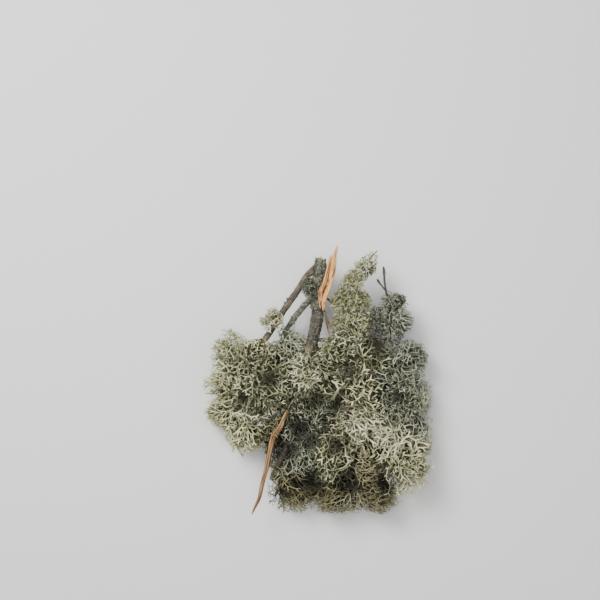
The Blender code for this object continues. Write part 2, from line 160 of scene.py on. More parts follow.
def bark_tube(name, route, spacing, sides, relief, seed, ragged=0.0):
    """Centre(s) + (radius(s) + height(s, angle)) * (across cos(angle) + above sin(angle)). The height is
    0.6 long ridges - 0.7 cracks + 0.3 grain, times the bark's depth, and 6% of the radius in slow swells;
    cracks run where the scales' noise is near 0. Both ends close on a point. A ragged first end is pushed
    back along the tube by ragged * noise(angle), less and less over the tear's depth."""
    rows = smooth(route, spacing)
    along, across, above = wooden_frame(rows)
    angle = -np.arange(sides) * 2 * math.pi / sides
    turn = np.cos(angle)[None, :, None], np.sin(angle)[None, :, None]
    outward = across[:, None] * turn[0] + above[:, None] * turn[1]
    run = np.arange(len(rows))[:, None] * spacing
    radius = rows[:, 3:4]
    skin = rows[:, None, :3] + outward * radius[:, :, None]
    unrolled = np.stack([run + 0 * angle, radius * np.cos(angle), radius * np.sin(angle)], axis=-1)
    ridges = lumps(unrolled * [0.22, 1, 1], relief["ridge"], seed)
    scales = np.abs(lumps(unrolled * [0.6, 1, 1], relief["scale"], seed + 1))
    grain = lumps(unrolled, relief["scale"] * 0.4, seed + 2)
    swell = lumps(unrolled * [1, 0.3, 0.3], relief["ridge"] * 5, seed + 3)
    bark = 0.6 * ridges - 0.7 * (scales < SCALE_EDGE) + 0.3 * grain
    height = relief["depth"] * bark + 0.06 * radius * swell
    skin = skin + outward * height[:, :, None]
    teeth = 0.5 + 0.5 * lumps(unrolled[:1] * [0, 1, 1] + [0.3, 0, 0], TOOTH, seed + 4)
    skin = skin + along[:, None] * (ragged * teeth * np.clip(1 - run / TEAR_DEPTH, 0, 1))[:, :, None]
    ends = np.array([rows[0, :3] + along[0] * (ragged * 0.8 - radius[0] * 0.2 * (ragged == 0)),
                     rows[-1, :3] + along[-1] * radius[-1] * 0.6])
    points = np.vstack([skin.reshape(-1, 3), ends])
    streak = relief["streak"] * lumps(unrolled * [0.09, 1, 1], STREAK_WIDTH, seed + 5)
    values = {"streak": np.append(streak.reshape(-1), [0, 0]),
              "relief": np.append(height.reshape(-1) / relief["depth"], [0, 0])}
    return build_mesh(name, points, tube_faces(len(rows), sides), values)


def node_group(name, inputs, outputs):
    """A shader group with named sockets, (name, kind, value) in and (name, kind) out, and its two ends."""
    group = bpy.data.node_groups.new(name, "ShaderNodeTree")
    for label, kind, value in inputs:
        socket = group.interface.new_socket(label, in_out="INPUT", socket_type=kind)
        if value is not None:
            socket.default_value = value
    for label, kind in outputs:
        group.interface.new_socket(label, in_out="OUTPUT", socket_type=kind)
    return group, group.nodes.new("NodeGroupInput"), group.nodes.new("NodeGroupOutput")


class Nodes:
    """Short calls that add and join the nodes of one tree. A factor or colour is a socket or a value."""

    def __init__(self, tree):
        self.tree = tree

    def add(self, kind, **settings):
        """A new node with these settings."""
        node = self.tree.nodes.new(kind)
        for key, value in settings.items():
            setattr(node, key, value)
        return node

    def join(self, source, target):
        """A link from one socket to another."""
        self.tree.links.new(source, target)

    def noise(self, vector, scale, detail, rough):
        """Fractal noise around 0.5, with this many lumps a metre."""
        node = self.add("ShaderNodeTexNoise")
        node.inputs["Scale"].default_value = scale
        node.inputs["Detail"].default_value = detail
        node.inputs["Roughness"].default_value = rough
        self.join(vector, node.inputs["Vector"])
        return node.outputs["Fac"]

    def ramp(self, factor, low, high, soft=True):
        """From 0 at low to 1 at high, along 3t^2 - 2t^3 if soft, and straight if not."""
        node = self.add("ShaderNodeMapRange")
        node.interpolation_type = "SMOOTHSTEP" if soft else "LINEAR"
        node.inputs["From Min"].default_value = low
        node.inputs["From Max"].default_value = high
        self.join(factor, node.inputs["Value"])
        return node.outputs["Result"]

    def feed(self, pairs):
        """Joins or sets each socket; a tuple is a colour."""
        for socket, value in pairs:
            if hasattr(value, "is_linked"):
                self.join(value, socket)
            elif isinstance(value, tuple):
                socket.default_value = (*value, 1)
            else:
                socket.default_value = value

    def mix(self, factor, a, b, blend="MIX"):
        """a + factor * (b - a), or another blend of the two."""
        node = self.add("ShaderNodeMix", data_type="RGBA", blend_type=blend)
        self.feed(((node.inputs[0], factor), (node.inputs[6], a), (node.inputs[7], b)))
        return node.outputs[2]

    def math(self, operation, a, b):
        """One operation on two numbers."""
        node = self.add("ShaderNodeMath", operation=operation)
        self.feed(zip(node.inputs, (a, b)))
        return node.outputs[0]

    def times(self, a, b):
        """a * b."""
        return self.math("MULTIPLY", a, b)

    def plus(self, a, b):
        """a + b."""
        return self.math("ADD", a, b)


FISSURE_SHADE = (0.012, 0.009, 0.007)
WORN_BARK = (0.16, 0.135, 0.10)
PALE_SPECK = (0.36, 0.35, 0.29)
PALE_CRUST = (0.44, 0.46, 0.35)


def bark_group():
    """Bark: a ground colour with warm ridges, dark fissures, pale specks and grey-green crust in patches.
    The fissures' near-black is their own dark with painted shade in them. A noise's scale is in lumps a
    metre."""
    group, ins, outs = node_group(
        "bark_skin",
        [("Vector", "NodeSocketVector", None), ("Relief", "NodeSocketFloat", 0.0),
         ("Streak", "NodeSocketFloat", 0.0), ("Ground", "NodeSocketColor", None),
         ("Warm", "NodeSocketColor", None), ("Crust", "NodeSocketColor", None),
         ("Crust Share", "NodeSocketFloat", 0.4)],
        [("Color", "NodeSocketColor"), ("Height", "NodeSocketFloat"), ("Roughness", "NodeSocketFloat")])
    nodes = Nodes(group)
    vector, relief = ins.outputs["Vector"], ins.outputs["Relief"]
    broad = nodes.plus(nodes.noise(vector, 130, 4, 0.6), ins.outputs["Streak"])
    fine = nodes.noise(vector, 900, 4, 0.65)
    specks = nodes.noise(vector, 1700, 2, 0.5)
    warmth = nodes.times(nodes.ramp(broad, 0.40, 0.62), nodes.ramp(relief, -0.5, 0.45))
    colour = nodes.mix(warmth, ins.outputs["Ground"], ins.outputs["Warm"])
    # Painted shade with the fissures' own dark: the low relief goes near-black
    colour = nodes.mix(nodes.times(nodes.ramp(relief, 0.1, -0.7), 0.8), colour, FISSURE_SHADE)
    colour = nodes.mix(nodes.times(nodes.ramp(fine, 0.35, 0.75), 0.4), colour, WORN_BARK, "SCREEN")
    colour = nodes.mix(nodes.ramp(specks, 0.70, 0.76), colour, PALE_SPECK)
    share = nodes.math("SUBTRACT", ins.outputs["Crust Share"], 0.5)
    crust = nodes.ramp(nodes.plus(nodes.noise(vector, 210, 5, 0.62), share), 0.47, 0.56)
    crust_colour = nodes.mix(nodes.ramp(specks, 0.45, 0.62), ins.outputs["Crust"], PALE_CRUST)
    colour = nodes.mix(nodes.times(crust, 0.8), colour, crust_colour)
    nodes.join(colour, outs.inputs["Color"])
    height = nodes.plus(nodes.times(fine, 0.6), nodes.times(crust, 0.25))
    nodes.join(nodes.plus(height, nodes.times(specks, 0.25)), outs.inputs["Height"])
    nodes.join(nodes.ramp(fine, 1.6, -0.2, False), outs.inputs["Roughness"])
    return group


BARK_SKIN = bark_group()


def material(name, roughness):
    """A material, its nodes and its shader."""
    made = bpy.data.materials.new(name)
    made.use_nodes = True
    shader = made.node_tree.nodes["Principled BSDF"]
    shader.inputs["Roughness"].default_value = roughness
    return made, Nodes(made.node_tree), shader


def attribute(nodes, key):
    """The number that each point of a mesh carries under this name."""
    return nodes.add("ShaderNodeAttribute", attribute_name=key).outputs["Fac"]


def object_coordinates(nodes):
    """The place on the object, in metres."""
    return nodes.add("ShaderNodeTexCoord").outputs["Object"]


def bump(nodes, shader, height, distance):
    """Fine relief of a height that is given from 0 to 1 and stands for this distance in metres."""
    node = nodes.add("ShaderNodeBump")
    node.inputs["Distance"].default_value = distance
    nodes.join(height, node.inputs["Height"])
    nodes.join(node.outputs["Normal"], shader.inputs["Normal"])


def bark_material(name, ground, warm, crust, crust_share):
    """Bark of one kind of wood: its ground and warm colours, and its crust's colour and share."""
    made, nodes, shader = material(name, 0.85)
    skin = nodes.add("ShaderNodeGroup", node_tree=BARK_SKIN)
    settings = {"Vector": object_coordinates(nodes), "Relief": attribute(nodes, "relief"),
                "Streak": attribute(nodes, "streak"), "Ground": ground, "Warm": warm, "Crust": crust,
                "Crust Share": crust_share}
    nodes.feed((skin.inputs[key], value) for key, value in settings.items())
    nodes.join(skin.outputs["Color"], shader.inputs["Base Color"])
    nodes.join(skin.outputs["Roughness"], shader.inputs["Roughness"])
    bump(nodes, shader, skin.outputs["Height"], 0.6 * MM)
    return made


def fasten(piece, finish):
    """Gives a piece its material, and lets it ride on the branch."""
    piece.data.materials.append(finish)
    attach(piece, "root")


def place(piece, node, finish):
    """Puts a piece where a solid stands, in its stead."""
    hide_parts(node)
    fasten(piece, finish)


RIM = 6


def scales(name, route, stretch, count, size, seed):
    """Closed flakes on a tube: rim(k) = root + r(k) (out(k) + lift * normal), k = 0..5, with a top and a
    bottom point. The roots lie at centre(s) + radius(s) * outward(angle), more of them above than below."""
    chance = np.random.default_rng(seed)
    rows = smooth(route, 0.4 * MM)
    along, across, above = wooden_frame(rows)
    at = np.floor(chance.uniform(stretch[0], stretch[1], count) * (len(rows) - 1)).astype(int)
    angle = chance.normal(math.pi / 2, 1.3, count)[:, None]
    normal = across[at] * np.cos(angle) + above[at] * np.sin(angle)
    root = rows[at, :3] + normal * rows[at, 3:4] * 1.01
    turn = chance.uniform(0, 2 * math.pi, count)[:, None]
    beside = np.cross(normal, along[at])
    first = along[at] * np.cos(turn) + beside * np.sin(turn)
    second = np.cross(normal, first)
    tilt = chance.uniform(-0.2, 0.9, count)[:, None, None]
    reach = size * chance.lognormal(0, 0.35, count)[:, None, None]
    spin = (np.arange(RIM) * 2 * math.pi / RIM)[None, :, None]
    shape = chance.uniform(0.65, 1.25, (count, RIM, 1)) * reach
    rim = root[:, None] + shape * (first[:, None] * np.cos(spin) + second[:, None] * np.sin(spin)
                                   + normal[:, None] * (0.30 + tilt * np.cos(spin)))
    top = root + normal * reach[:, 0] * 0.42
    bottom = root - normal * reach[:, 0] * 0.40
    points = np.concatenate([rim, top[:, None], bottom[:, None]], axis=1).reshape(-1, 3)
    rim_to_top = [(k, (k + 1) % RIM, RIM) for k in range(RIM)]
    rim_to_bottom = [((k + 1) % RIM, k, RIM + 1) for k in range(RIM)]
    flake = np.array(rim_to_top + rim_to_bottom)
    faces = (flake[None] + (RIM + 2) * np.arange(count)[:, None, None]).reshape(-1, 3)
    tone = np.repeat(chance.uniform(0, 1, count), RIM + 2)
    return build_mesh(name, points, [faces], {"tone": tone})


PALE_GRIT = (0.55, 0.56, 0.44)


def crust_material(name, dark, pale):
    """Crust lichen: each flake has its own tone between dark and pale, with pale grit on it."""
    made, nodes, shader = material(name, 0.9)
    colour = nodes.mix(nodes.ramp(attribute(nodes, "tone"), 0.2, 1.0), dark, pale)
    grit = nodes.noise(object_coordinates(nodes), 1400, 2, 0.6)
    colour = nodes.mix(nodes.times(nodes.ramp(grit, 0.5, 0.7), 0.5), colour, PALE_GRIT)
    nodes.join(colour, shader.inputs["Base Color"])
    bump(nodes, shader, grit, 0.3 * MM)
    return made


def grow_crust(name, route, stretch, count, size, finish):
    """Flakes of crust lichen on a stretch of bark, from and to as shares of its route."""
    fasten(scales(name, route, stretch, count, size, len(name) + count), finish)


OLD_BARK = {"ridge": 3.5 * MM, "scale": 4.2 * MM, "depth": 0.6 * MM, "streak": 0.05}
stem_bark = bark_material("stem_bark", (0.064, 0.053, 0.040), (0.118, 0.083, 0.054),
                          (0.135, 0.140, 0.095), 0.32)
stem = bark_tube("stem", MAIN_STEM, 0.8 * MM, 76, OLD_BARK, 11, 3.2 * MM)
place(stem, "main_stem", stem_bark)
stem_crust = crust_material("stem_crust", (0.055, 0.057, 0.039), (0.20, 0.205, 0.145))
grow_crust("crust_heel", MAIN_STEM, (0.0, 0.56), 1500, 0.95 * MM, stem_crust)
grow_crust("crust_stem", MAIN_STEM, (0.5, 1.0), 260, 0.7 * MM, stem_crust)


# The lower stem: the same stick below the cross limb, thinning out under the lichen.
# Little of it shows, so its route follows the dark stretches between the lobes.
LOWER_STEM = [(311.5, 345, 30, 5.8), (306, 360, 29, 5.7), (303, 380, 27, 5.4), (300, 402, 26, 5.0),
              (295, 426, 25, 4.4), (285, 451, 23, 3.6), (271, 480, 20, 2.2)]
place(bark_tube("stem_lower", LOWER_STEM, 1.1 * MM, 48, OLD_BARK, 21), "lower_stem", stem_bark)


# The limbs and twigs: thinner wood with smoother bark, which part from the stem and cross limb.
# The long brown limb has red-brown bark in streaks; the grey limb is crusted all over.
BROWN_LIMB = [(319, 264, 36, 3.3), (308, 275, 38, 3.6), (298, 290, 37, 3.5), (284, 310, 35, 3.4),
              (268, 335, 32, 3.4), (255, 352, 30, 3.1), (248, 374, 27, 2.5), (244, 396, 26, 1.9),
              (239, 412, 27, 1.5), (238, 424, 29, 1.1)]
GREY_LIMB = [(317, 293, 31, 3.2), (304, 306, 30, 3.1), (293, 320, 28, 3.0), (284, 334, 26, 2.3)]
THIN_TWIG = [(320, 294, 30, 1.3), (329, 300, 31, 1.2), (334, 306, 32, 1.1), (338, 313, 33, 0.8)]
CROSS_LIMB = [(313.5, 340, 31, 2.4), (330, 339.5, 33, 2.0), (345, 335, 34, 1.9), (368, 337, 33, 1.8),
              (391, 338, 32, 1.8)]
UPRIGHT_A = [(349, 335, 34, 1.6), (350, 318, 34, 1.5), (350, 296, 36, 1.4), (351, 285, 37, 1.2),
             (358, 272, 38, 1.0), (366, 262, 38, 0.9), (377, 251, 38, 0.6)]
UPRIGHT_B = [(389, 338, 32, 1.5), (390, 320, 33, 1.4), (389, 303, 34, 1.3), (386, 291, 35, 1.2),
             (384.5, 281, 35, 1.1), (384, 272, 36, 1.6), (383.5, 267, 36, 1.0)]
DOWN_TWIG_1 = [(352, 336, 34, 1.6), (352, 357, 32, 1.6), (352, 382, 30, 1.5), (350, 412, 28, 1.4),
               (347, 446, 27, 1.2), (350, 474, 26, 1.0), (357, 496, 26, 0.7)]
DOWN_TWIG_2 = [(388, 338, 32, 1.5), (394, 348, 31, 1.5), (399, 372, 29, 1.4), (406, 400, 28, 1.3),
               (405, 430, 27, 1.2), (401, 456, 26, 1.0), (404, 482, 26, 0.7)]
SMOOTH_BARK = {"ridge": 1.6 * MM, "scale": 3.5 * MM, "depth": 0.22 * MM, "streak": 0.22}
TWIG_BARK = {"ridge": 1.2 * MM, "scale": 2.2 * MM, "depth": 0.18 * MM, "streak": 0.08}
brown_bark = bark_material("brown_bark", (0.046, 0.037, 0.026), (0.175, 0.108, 0.060),
                           (0.15, 0.14, 0.095), 0.15)
grey_bark = bark_material("grey_bark", (0.050, 0.048, 0.036), (0.085, 0.075, 0.055),
                          (0.135, 0.145, 0.10), 0.52)
twig_bark = bark_material("twig_bark", (0.040, 0.034, 0.028), (0.080, 0.058, 0.042),
                          (0.15, 0.15, 0.105), 0.40)
for name, route, spacing, sides, relief, finish, slot in (
        ("brown_limb", BROWN_LIMB, 1.0, 44, SMOOTH_BARK, brown_bark, "bark_brown"),
        ("grey_limb", GREY_LIMB, 0.9, 40, OLD_BARK, grey_bark, "bark_grey"),
        ("thin_twig", THIN_TWIG, 0.7, 24, TWIG_BARK, twig_bark, "bark_grey"),
        ("cross_limb", CROSS_LIMB, 1.0, 28, TWIG_BARK, twig_bark, "bark_grey"),
        ("upright_a", UPRIGHT_A, 1.1, 22, TWIG_BARK, twig_bark, "bark_grey"),
        ("upright_b", UPRIGHT_B, 0.9, 24, TWIG_BARK, twig_bark, "bark_grey"),
        ("down_twig_1", DOWN_TWIG_1, 1.4, 20, TWIG_BARK, twig_bark, "bark_grey"),
        ("down_twig_2", DOWN_TWIG_2, 1.4, 20, TWIG_BARK, twig_bark, "bark_grey")):
    piece = bark_tube("wood_" + name, route, spacing * MM, sides, relief, len(name) * 7)
    place(piece, name, finish)
# Two side twigs of the bare-tipped twig, and two buds on the upper edge of the brown limb
SIDE_TWIGS = {"left": [(386, 291, 35, 1.0), (381, 285, 36, 0.9), (378, 281, 37, 1.3), (377, 279, 37, 0.5)],
              "right": [(389, 305, 34, 0.9), (393, 302, 35, 0.8), (397, 297, 36, 0.5)]}
BUDS = {"upper": [(289.2, 300.5, 36.5, 0.9), (287.6, 299, 37, 1.2), (286.3, 297.8, 37.5, 0.5)],
        "lower": [(286.6, 304.5, 36, 0.8), (285, 303, 36.5, 1.1), (283.9, 301.8, 37, 0.4)]}
for way, route in SIDE_TWIGS.items():
    piece = bark_tube("wood_upright_b_" + way, route, 0.5 * MM, 20, TWIG_BARK, len(way) * 3)
    place(piece, "upright_b", twig_bark)
for way, route in BUDS.items():
    piece = bark_tube("bud_" + way, route, 0.3 * MM, 20, TWIG_BARK, ord(way[0]))
    place(piece, "brown_limb", twig_bark)
limb_crust = crust_material("limb_crust", (0.060, 0.064, 0.045), (0.20, 0.21, 0.15))
grow_crust("crust_grey_limb", GREY_LIMB, (0.0, 1.0), 420, 0.65 * MM, limb_crust)
grow_crust("crust_brown_limb", BROWN_LIMB, (0.12, 0.5), 110, 0.6 * MM, limb_crust)


# The torn wood: slats, strips and one long splinter of split sapwood, orange and full of long fibres.
# They stand where the stem was ripped from the tree, and where a strip was pulled from its side.
TORN_SLAT_LONG = [(337, 246, 44, 0.4, 0.3), (335.6, 252, 43.4, 1.5, 0.8), (334.2, 260, 42.9, 2.5, 1.3),
                  (332.6, 273, 42.5, 2.9, 1.5), (329.9, 283, 42.4, 2.5, 1.6), (327.3, 291, 42, 2.6, 1.6),
                  (325, 297, 41.7, 2.8, 1.5), (323.6, 303, 41.3, 2.3, 1.4), (323.4, 308, 40.8, 1.8, 1.0),
                  (323.4, 310.5, 40.5, 0.8, 0.5)]
TORN_SLAT_SHORT = [(330.6, 255, 42.5, 0.4, 0.4), (329.6, 261, 42.3, 1.6, 0.9), (326.9, 273, 42, 2.2, 1.2),
                   (324.1, 283, 42, 2.2, 1.3), (321.2, 290, 41.7, 2.4, 1.4), (320, 296, 41.3, 1.9, 1.1),
                   (320.1, 302, 40.8, 1.0, 0.8), (320.5, 308.5, 40.3, 0.4, 0.4)]
PEELED_STRIP_1 = [(324.9, 310, 37, 1.1, 0.5), (326.4, 317, 37.3, 1.6, 0.6), (329.6, 326, 38, 1.6, 0.6),
                  (333, 333, 38, 1.0, 0.4), (335.5, 337, 38, 0.4, 0.3)]
PEELED_STRIP_2 = [(325.4, 318, 33, 0.8, 0.5), (327.4, 327, 34, 1.1, 0.5), (330, 338, 35, 0.4, 0.3)]
LONG_SPLINTER = [(293.5, 401, 31.8, 0.5, 0.4), (289.5, 408, 33, 1.3, 0.8), (284, 418, 36, 1.7, 1.0),
                 (280.5, 427, 38.5, 2.3, 1.2), (274.5, 435, 40.5, 2.9, 1.4), (271.8, 443, 41.5, 2.9, 1.4),
                 (269, 455, 42, 2.6, 1.3), (266.5, 468, 42, 2.6, 1.4), (262.5, 483, 41.3, 2.4, 1.3),
                 (259.5, 497, 40.4, 2.1, 1.1), (254.5, 508, 39, 1.3, 0.7), (252, 514, 38, 0.4, 0.3)]


SLIVER_SIDES = 5


def slivers(centre, side, over, thick):
    """Points and faces of closed slivers of wood, one for each row of the arrays: rings of five points,
    centre(t) + thick(t) * (1.5 side cos(angle) + over sin(angle)), between the first and last centres."""
    count, rings = centre.shape[:2]
    spin = (-np.arange(SLIVER_SIDES) * 2 * math.pi / SLIVER_SIDES)[None, None, :, None]
    bodies = centre[:, :, None] + thick[..., None, None] * (
        side[:, :, None] * np.cos(spin) * 1.5 + over[:, :, None] * np.sin(spin))
    tips = np.stack([centre[:, 0], centre[:, -1]], axis=1)
    points = np.concatenate([bodies.reshape(count, -1, 3), tips], axis=1)
    offsets = (points.shape[1] * np.arange(count))[:, None, None]
    faces = [(block[None] + offsets).reshape(-1, block.shape[1])
             for block in tube_faces(rings, SLIVER_SIDES)]
    return points.reshape(-1, 3), faces


# A sliver's rings, half its length as shares of the board's, its thickness, and what is left at its tips
SLIVER_STOPS = 13
SLIVER_HALF = (0.05, 0.22)
SLIVER_THICK = (0.20 * MM, 0.48 * MM)
SLIVER_TIP = 0.03 * MM


def lying_slivers(rows, side, over, threads, chance):
    """Slivers on a board: centre(s) + side * a * wide(s) + over * b * tall(s), from s0 to s1. They drift a
    little across, a = a0 + drift * t, and follow the board's crown, b = +-sqrt(1.05 - |a|^3); one in four
    lies below. Their ends lift by up to 0.35 (2t - 1)^4, and they thin out by 1 - |2t - 1|^3."""
    middle = chance.uniform(0, 1, threads)
    half = chance.uniform(*SLIVER_HALF, threads)
    low = np.clip(middle - half, 0, 0.97)
    high = np.clip(middle + half, low + 0.03, 1)
    t = np.linspace(0, 1, SLIVER_STOPS)
    stops = np.arange(len(rows))
    at = (low[:, None] + (high - low)[:, None] * t) * stops[-1]
    rows, side, over = (np.stack([np.interp(at, stops, column) for column in block.T], axis=-1)
                        for block in (rows, side, over))
    a = chance.uniform(-0.90, 0.90, threads)[:, None] + chance.normal(0, 0.08, (threads, 1)) * t
    b = np.sqrt(np.clip(1.05 - np.abs(a)**3, 0, 1)) * chance.choice([1, 1, 1, -1], threads)[:, None]
    b = b + 0.35 * (2 * t - 1)**4 * chance.uniform(0, 1, (threads, 1))
    centre = rows[..., :3] + side * (a * rows[..., 3])[..., None] + over * (b * rows[..., 4])[..., None]
    thick = chance.uniform(*SLIVER_THICK, threads)[:, None] * (1 - np.abs(2 * t - 1)**3) + SLIVER_TIP
    return slivers(centre, side, over, thick)


# A board's points a ring and rings' spacing, how square its section is, the widths of its coarse and fine
# fibres and of its chips, and from what share of its width its rim darkens with painted shade
BOARD_SIDES = 44
BOARD_SPACING = 0.8 * MM
ROUND = 0.6
FIBRE = 0.00045
FINE_FIBRE = 0.24 * MM
CHIP = 1.1 * MM
RIM_FROM = 0.84


def split_wood(name, route, roll, threads, seed, lip):
    """Centre(s) + side * wide(s) * u(angle) + over * tall(s) * v(angle), with u and v a rounded board,
    sign(cos) |cos|^0.6 and sign(sin) |sin|^0.6, cut by grooves of noise that run far along and little
    across, deep above and shallow at its edges. A lip of bark, side * lip * max(u, 0) * max(-v, 0), stands
    out from one lower edge, dark as bark and as painted shade in the gap beside it. The board's own rims are
    darkened too, a painted shade on its sides, and slivers lie on it."""
    chance = np.random.default_rng(seed)
    rows = smooth(route, BOARD_SPACING)
    along, across, above = wooden_frame(rows)
    side = across * math.cos(roll) + above * math.sin(roll)
    over = above * math.cos(roll) - across * math.sin(roll)
    angle = -np.arange(BOARD_SIDES) * 2 * math.pi / BOARD_SIDES
    u, v = (np.sign(turn) * np.abs(turn)**ROUND for turn in (np.cos(angle), np.sin(angle)))
    run = np.arange(len(rows))[:, None] * BOARD_SPACING
    around = np.stack([run * 0.04 + 0 * angle, 2.2 * MM * u + 0 * run, 1.1 * MM * v + 0 * run], axis=-1)
    fibres = lumps(around, FIBRE, seed) + 0.6 * lumps(around * [2.5, 1, 1], FINE_FIBRE, seed + 1)
    chips = lumps(around * [9, 1, 1], CHIP, seed + 2)
    breadth = 0.90 + 0.04 * fibres + 0.04 * chips
    height = 0.84 + 0.20 * fibres + 0.08 * chips
    skin = (rows[:, None, :3] + side[:, None] * (u * rows[:, 3:4] * breadth)[:, :, None]
            + over[:, None] * (v * rows[:, 4:5] * height)[:, :, None])
    fading = np.sin(np.linspace(0, math.pi, len(rows)))[:, None]
    flange = np.clip(u, 0, 1) * np.clip(-v, 0, 1) * fading
    skin = skin + side[:, None] * (lip * flange)[:, :, None]
    ends = np.array([skin[0].mean(axis=0), skin[-1].mean(axis=0)])
    loose, loose_faces = lying_slivers(rows, side, over, threads, chance)
    board = np.vstack([skin.reshape(-1, 3), ends])
    faces = [*tube_faces(len(rows), BOARD_SIDES), *(block + len(board) for block in loose_faces)]
    # Painted shade on the board's rims, and on the lip, which is dark as bark and as painted shade
    rim_shade_and_bark = 1.7 * np.clip((np.abs(u) - RIM_FROM) / (1 - RIM_FROM), 0, 1) + 4.0 * flange * (lip > 0)
    tones = np.repeat(chance.uniform(-1, 1.3, threads), len(loose) // threads)
    level = np.concatenate([(fibres - rim_shade_and_bark).reshape(-1), [0, 0], tones])
    return build_mesh(name, np.vstack([board, loose]), faces, {"relief": level})


def torn_material(name, pale, deep, grey):
    """Split wood: pale on its ridges, deep in its grooves, with greyed stretches."""
    made, nodes, shader = material(name, 0.7)
    here = object_coordinates(nodes)
    colour = nodes.mix(nodes.ramp(attribute(nodes, "relief"), -0.75, 0.40), deep, pale)
    blotch = nodes.ramp(nodes.noise(here, 120, 3, 0.6), 0.5, 0.7)
    colour = nodes.mix(nodes.times(blotch, 0.55), colour, grey)
    nodes.join(colour, shader.inputs["Base Color"])
    bump(nodes, shader, nodes.noise(here, 1500, 3, 0.6), 0.2 * MM)
    return made


fresh_wood = torn_material("fresh_wood", (0.92, 0.49, 0.175), (0.15, 0.058, 0.022), (0.66, 0.35, 0.14))
aged_wood = torn_material("aged_wood", (0.56, 0.315, 0.115), (0.085, 0.040, 0.016), (0.25, 0.155, 0.08))
dull_strip = torn_material("dull_strip", (0.30, 0.21, 0.12), (0.09, 0.055, 0.032), (0.13, 0.10, 0.06))
SLAT_LIP = 0.0036
for name, route, roll, threads, lip, finish, slot in (
        ("torn_slat_long", TORN_SLAT_LONG, -0.15, 26, SLAT_LIP, fresh_wood, "torn_wood"),
        ("torn_slat_short", TORN_SLAT_SHORT, 0.12, 26, 0.0, fresh_wood, "torn_wood"),
        ("peeled_strip_1", PEELED_STRIP_1, 0.5, 8, 0.0, dull_strip, "bark_brown"),
        ("peeled_strip_2", PEELED_STRIP_2, 0.4, 8, 0.0, dull_strip, "bark_brown"),
        ("long_splinter", LONG_SPLINTER, 0.2, 34, 0.0, aged_wood, "torn_wood")):
    place(split_wood("split_" + name, route, roll, threads, len(name) * 5, lip), name, finish)

# The stem's torn end bristles with the ends of its fibres, which start inside it and splay outwards:
# start + reach * t * (splay * t - along), thinning out by 1 - t^2
FIBRES = 90
FIBRE_REACH = (4 * MM, 8.5 * MM)
FIBRE_THICK = (0.25 * MM, 0.55 * MM)
FIBRE_TIP = 0.04 * MM
ROOTED = 5
chance = np.random.default_rng(61)
heel = smooth(MAIN_STEM, MM)
along, across, above = (vectors[ROOTED - 1] for vectors in wooden_frame(heel))
spin = chance.uniform(0, 2 * math.pi, (FIBRES, 1))
ring_share = np.sqrt(chance.uniform(0, 1, (FIBRES, 1)))
outward = across * np.cos(spin) + above * np.sin(spin)
start = heel[ROOTED, :3] + outward * ring_share * heel[ROOTED, 3] * 0.85
reach = chance.uniform(*FIBRE_REACH, (FIBRES, 1))
splay = outward * ring_share * 0.10 + chance.normal(0, 0.09, (FIBRES, 3))
t = np.linspace(0, 1, 7)[None, :, None]
centre = start[:, None] + reach[:, None] * t * (splay[:, None] * t - along)
ones = np.ones_like(centre)
thick = chance.uniform(*FIBRE_THICK, (FIBRES, 1)) * (1 - t[..., 0]**2) + FIBRE_TIP
points, blocks = slivers(centre, ones * across, ones * above, thick)
tones = np.repeat(chance.uniform(-1.2, 0.8, FIBRES), len(points) // FIBRES)
fasten(build_mesh("torn_heel", points, blocks, {"relief": tones}), aged_wood)


# The lichen: oakmoss thalli, each a bunch of flat straps from one holdfast on the bark. A strap is dry and
# matt, 1 to 4 mm wide and forks again and again. It is paler below and under its granules, and at its tips,
# where the paleness is partly painted highlight.
# The thalli have grown into one mass: a strap turns along the mass's edge and where it is less crowded.
WOOD = {"main_stem": MAIN_STEM, "lower_stem": LOWER_STEM, "brown_limb": BROWN_LIMB, "grey_limb": GREY_LIMB,
        "thin_twig": THIN_TWIG, "cross_limb": CROSS_LIMB, "upright_a": UPRIGHT_A, "upright_b": UPRIGHT_B,
        "down_twig_1": DOWN_TWIG_1, "down_twig_2": DOWN_TWIG_2}
TORN = (TORN_SLAT_LONG, TORN_SLAT_SHORT, PEELED_STRIP_1, PEELED_STRIP_2, LONG_SPLINTER)
WOOD_ROWS = np.vstack([smooth(route, 2 * MM)[:, :4] for route in (*WOOD.values(), *TORN)])
CLEAR_OF_WOOD = 0.8 * MM
box_low, box_high = (np.array(corner) for corner in cad_box)


def node_points(name):
    """The corners of a solid of the frame."""
    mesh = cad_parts[name].data
    points = np.empty(len(mesh.vertices) * 3, dtype=np.float32)
    mesh.vertices.foreach_get("co", points)
    return points.reshape(-1, 3).astype(float)


def clear_of_wood(points):
    """Points moved straight out from the wood's nearest middle line, to its radius + the clearance."""
    apart = np.linalg.norm(points[:, None] - WOOD_ROWS[None, :, :3], axis=2)
    nearest = (apart - WOOD_ROWS[:, 3]).argmin(axis=1)
    away = unit(points - WOOD_ROWS[nearest, :3])
    needed = WOOD_ROWS[nearest, 3] + CLEAR_OF_WOOD - apart[np.arange(len(points)), nearest]
    return points + away * np.maximum(needed, 0)[:, None]


SOLIDS = {name: node_points(name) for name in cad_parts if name.startswith("lichen_")}
# The lichen also grows over these stretches of wood: from and to, as shares of the route, and how far
OVERGROWN = (("lower_stem", 0.10, 0.80, 0.0120), ("cross_limb", 0.10, 0.95, 0.0045),
             ("upright_a", 0.0, 0.75, 0.0090), ("upright_a", 0.75, 0.97, 0.0050),
             ("upright_b", 0.10, 0.60, 0.0095), ("down_twig_1", 0.0, 0.95, 0.0120),
             ("down_twig_2", 0.0, 0.90, 0.0125), ("brown_limb", 0.62, 1.0, 0.0095),
             ("grey_limb", 0.72, 1.0, 0.0065))
SLEEVE_SPACING = 6 * MM
sleeves = []
for name, low, high, reach in OVERGROWN:
    rows = smooth(WOOD[name], SLEEVE_SPACING)[:, :3]
    rows = rows[round(low * len(rows)):round(high * len(rows))]
    sleeves.append(np.column_stack([rows, np.full(len(rows), reach)]))
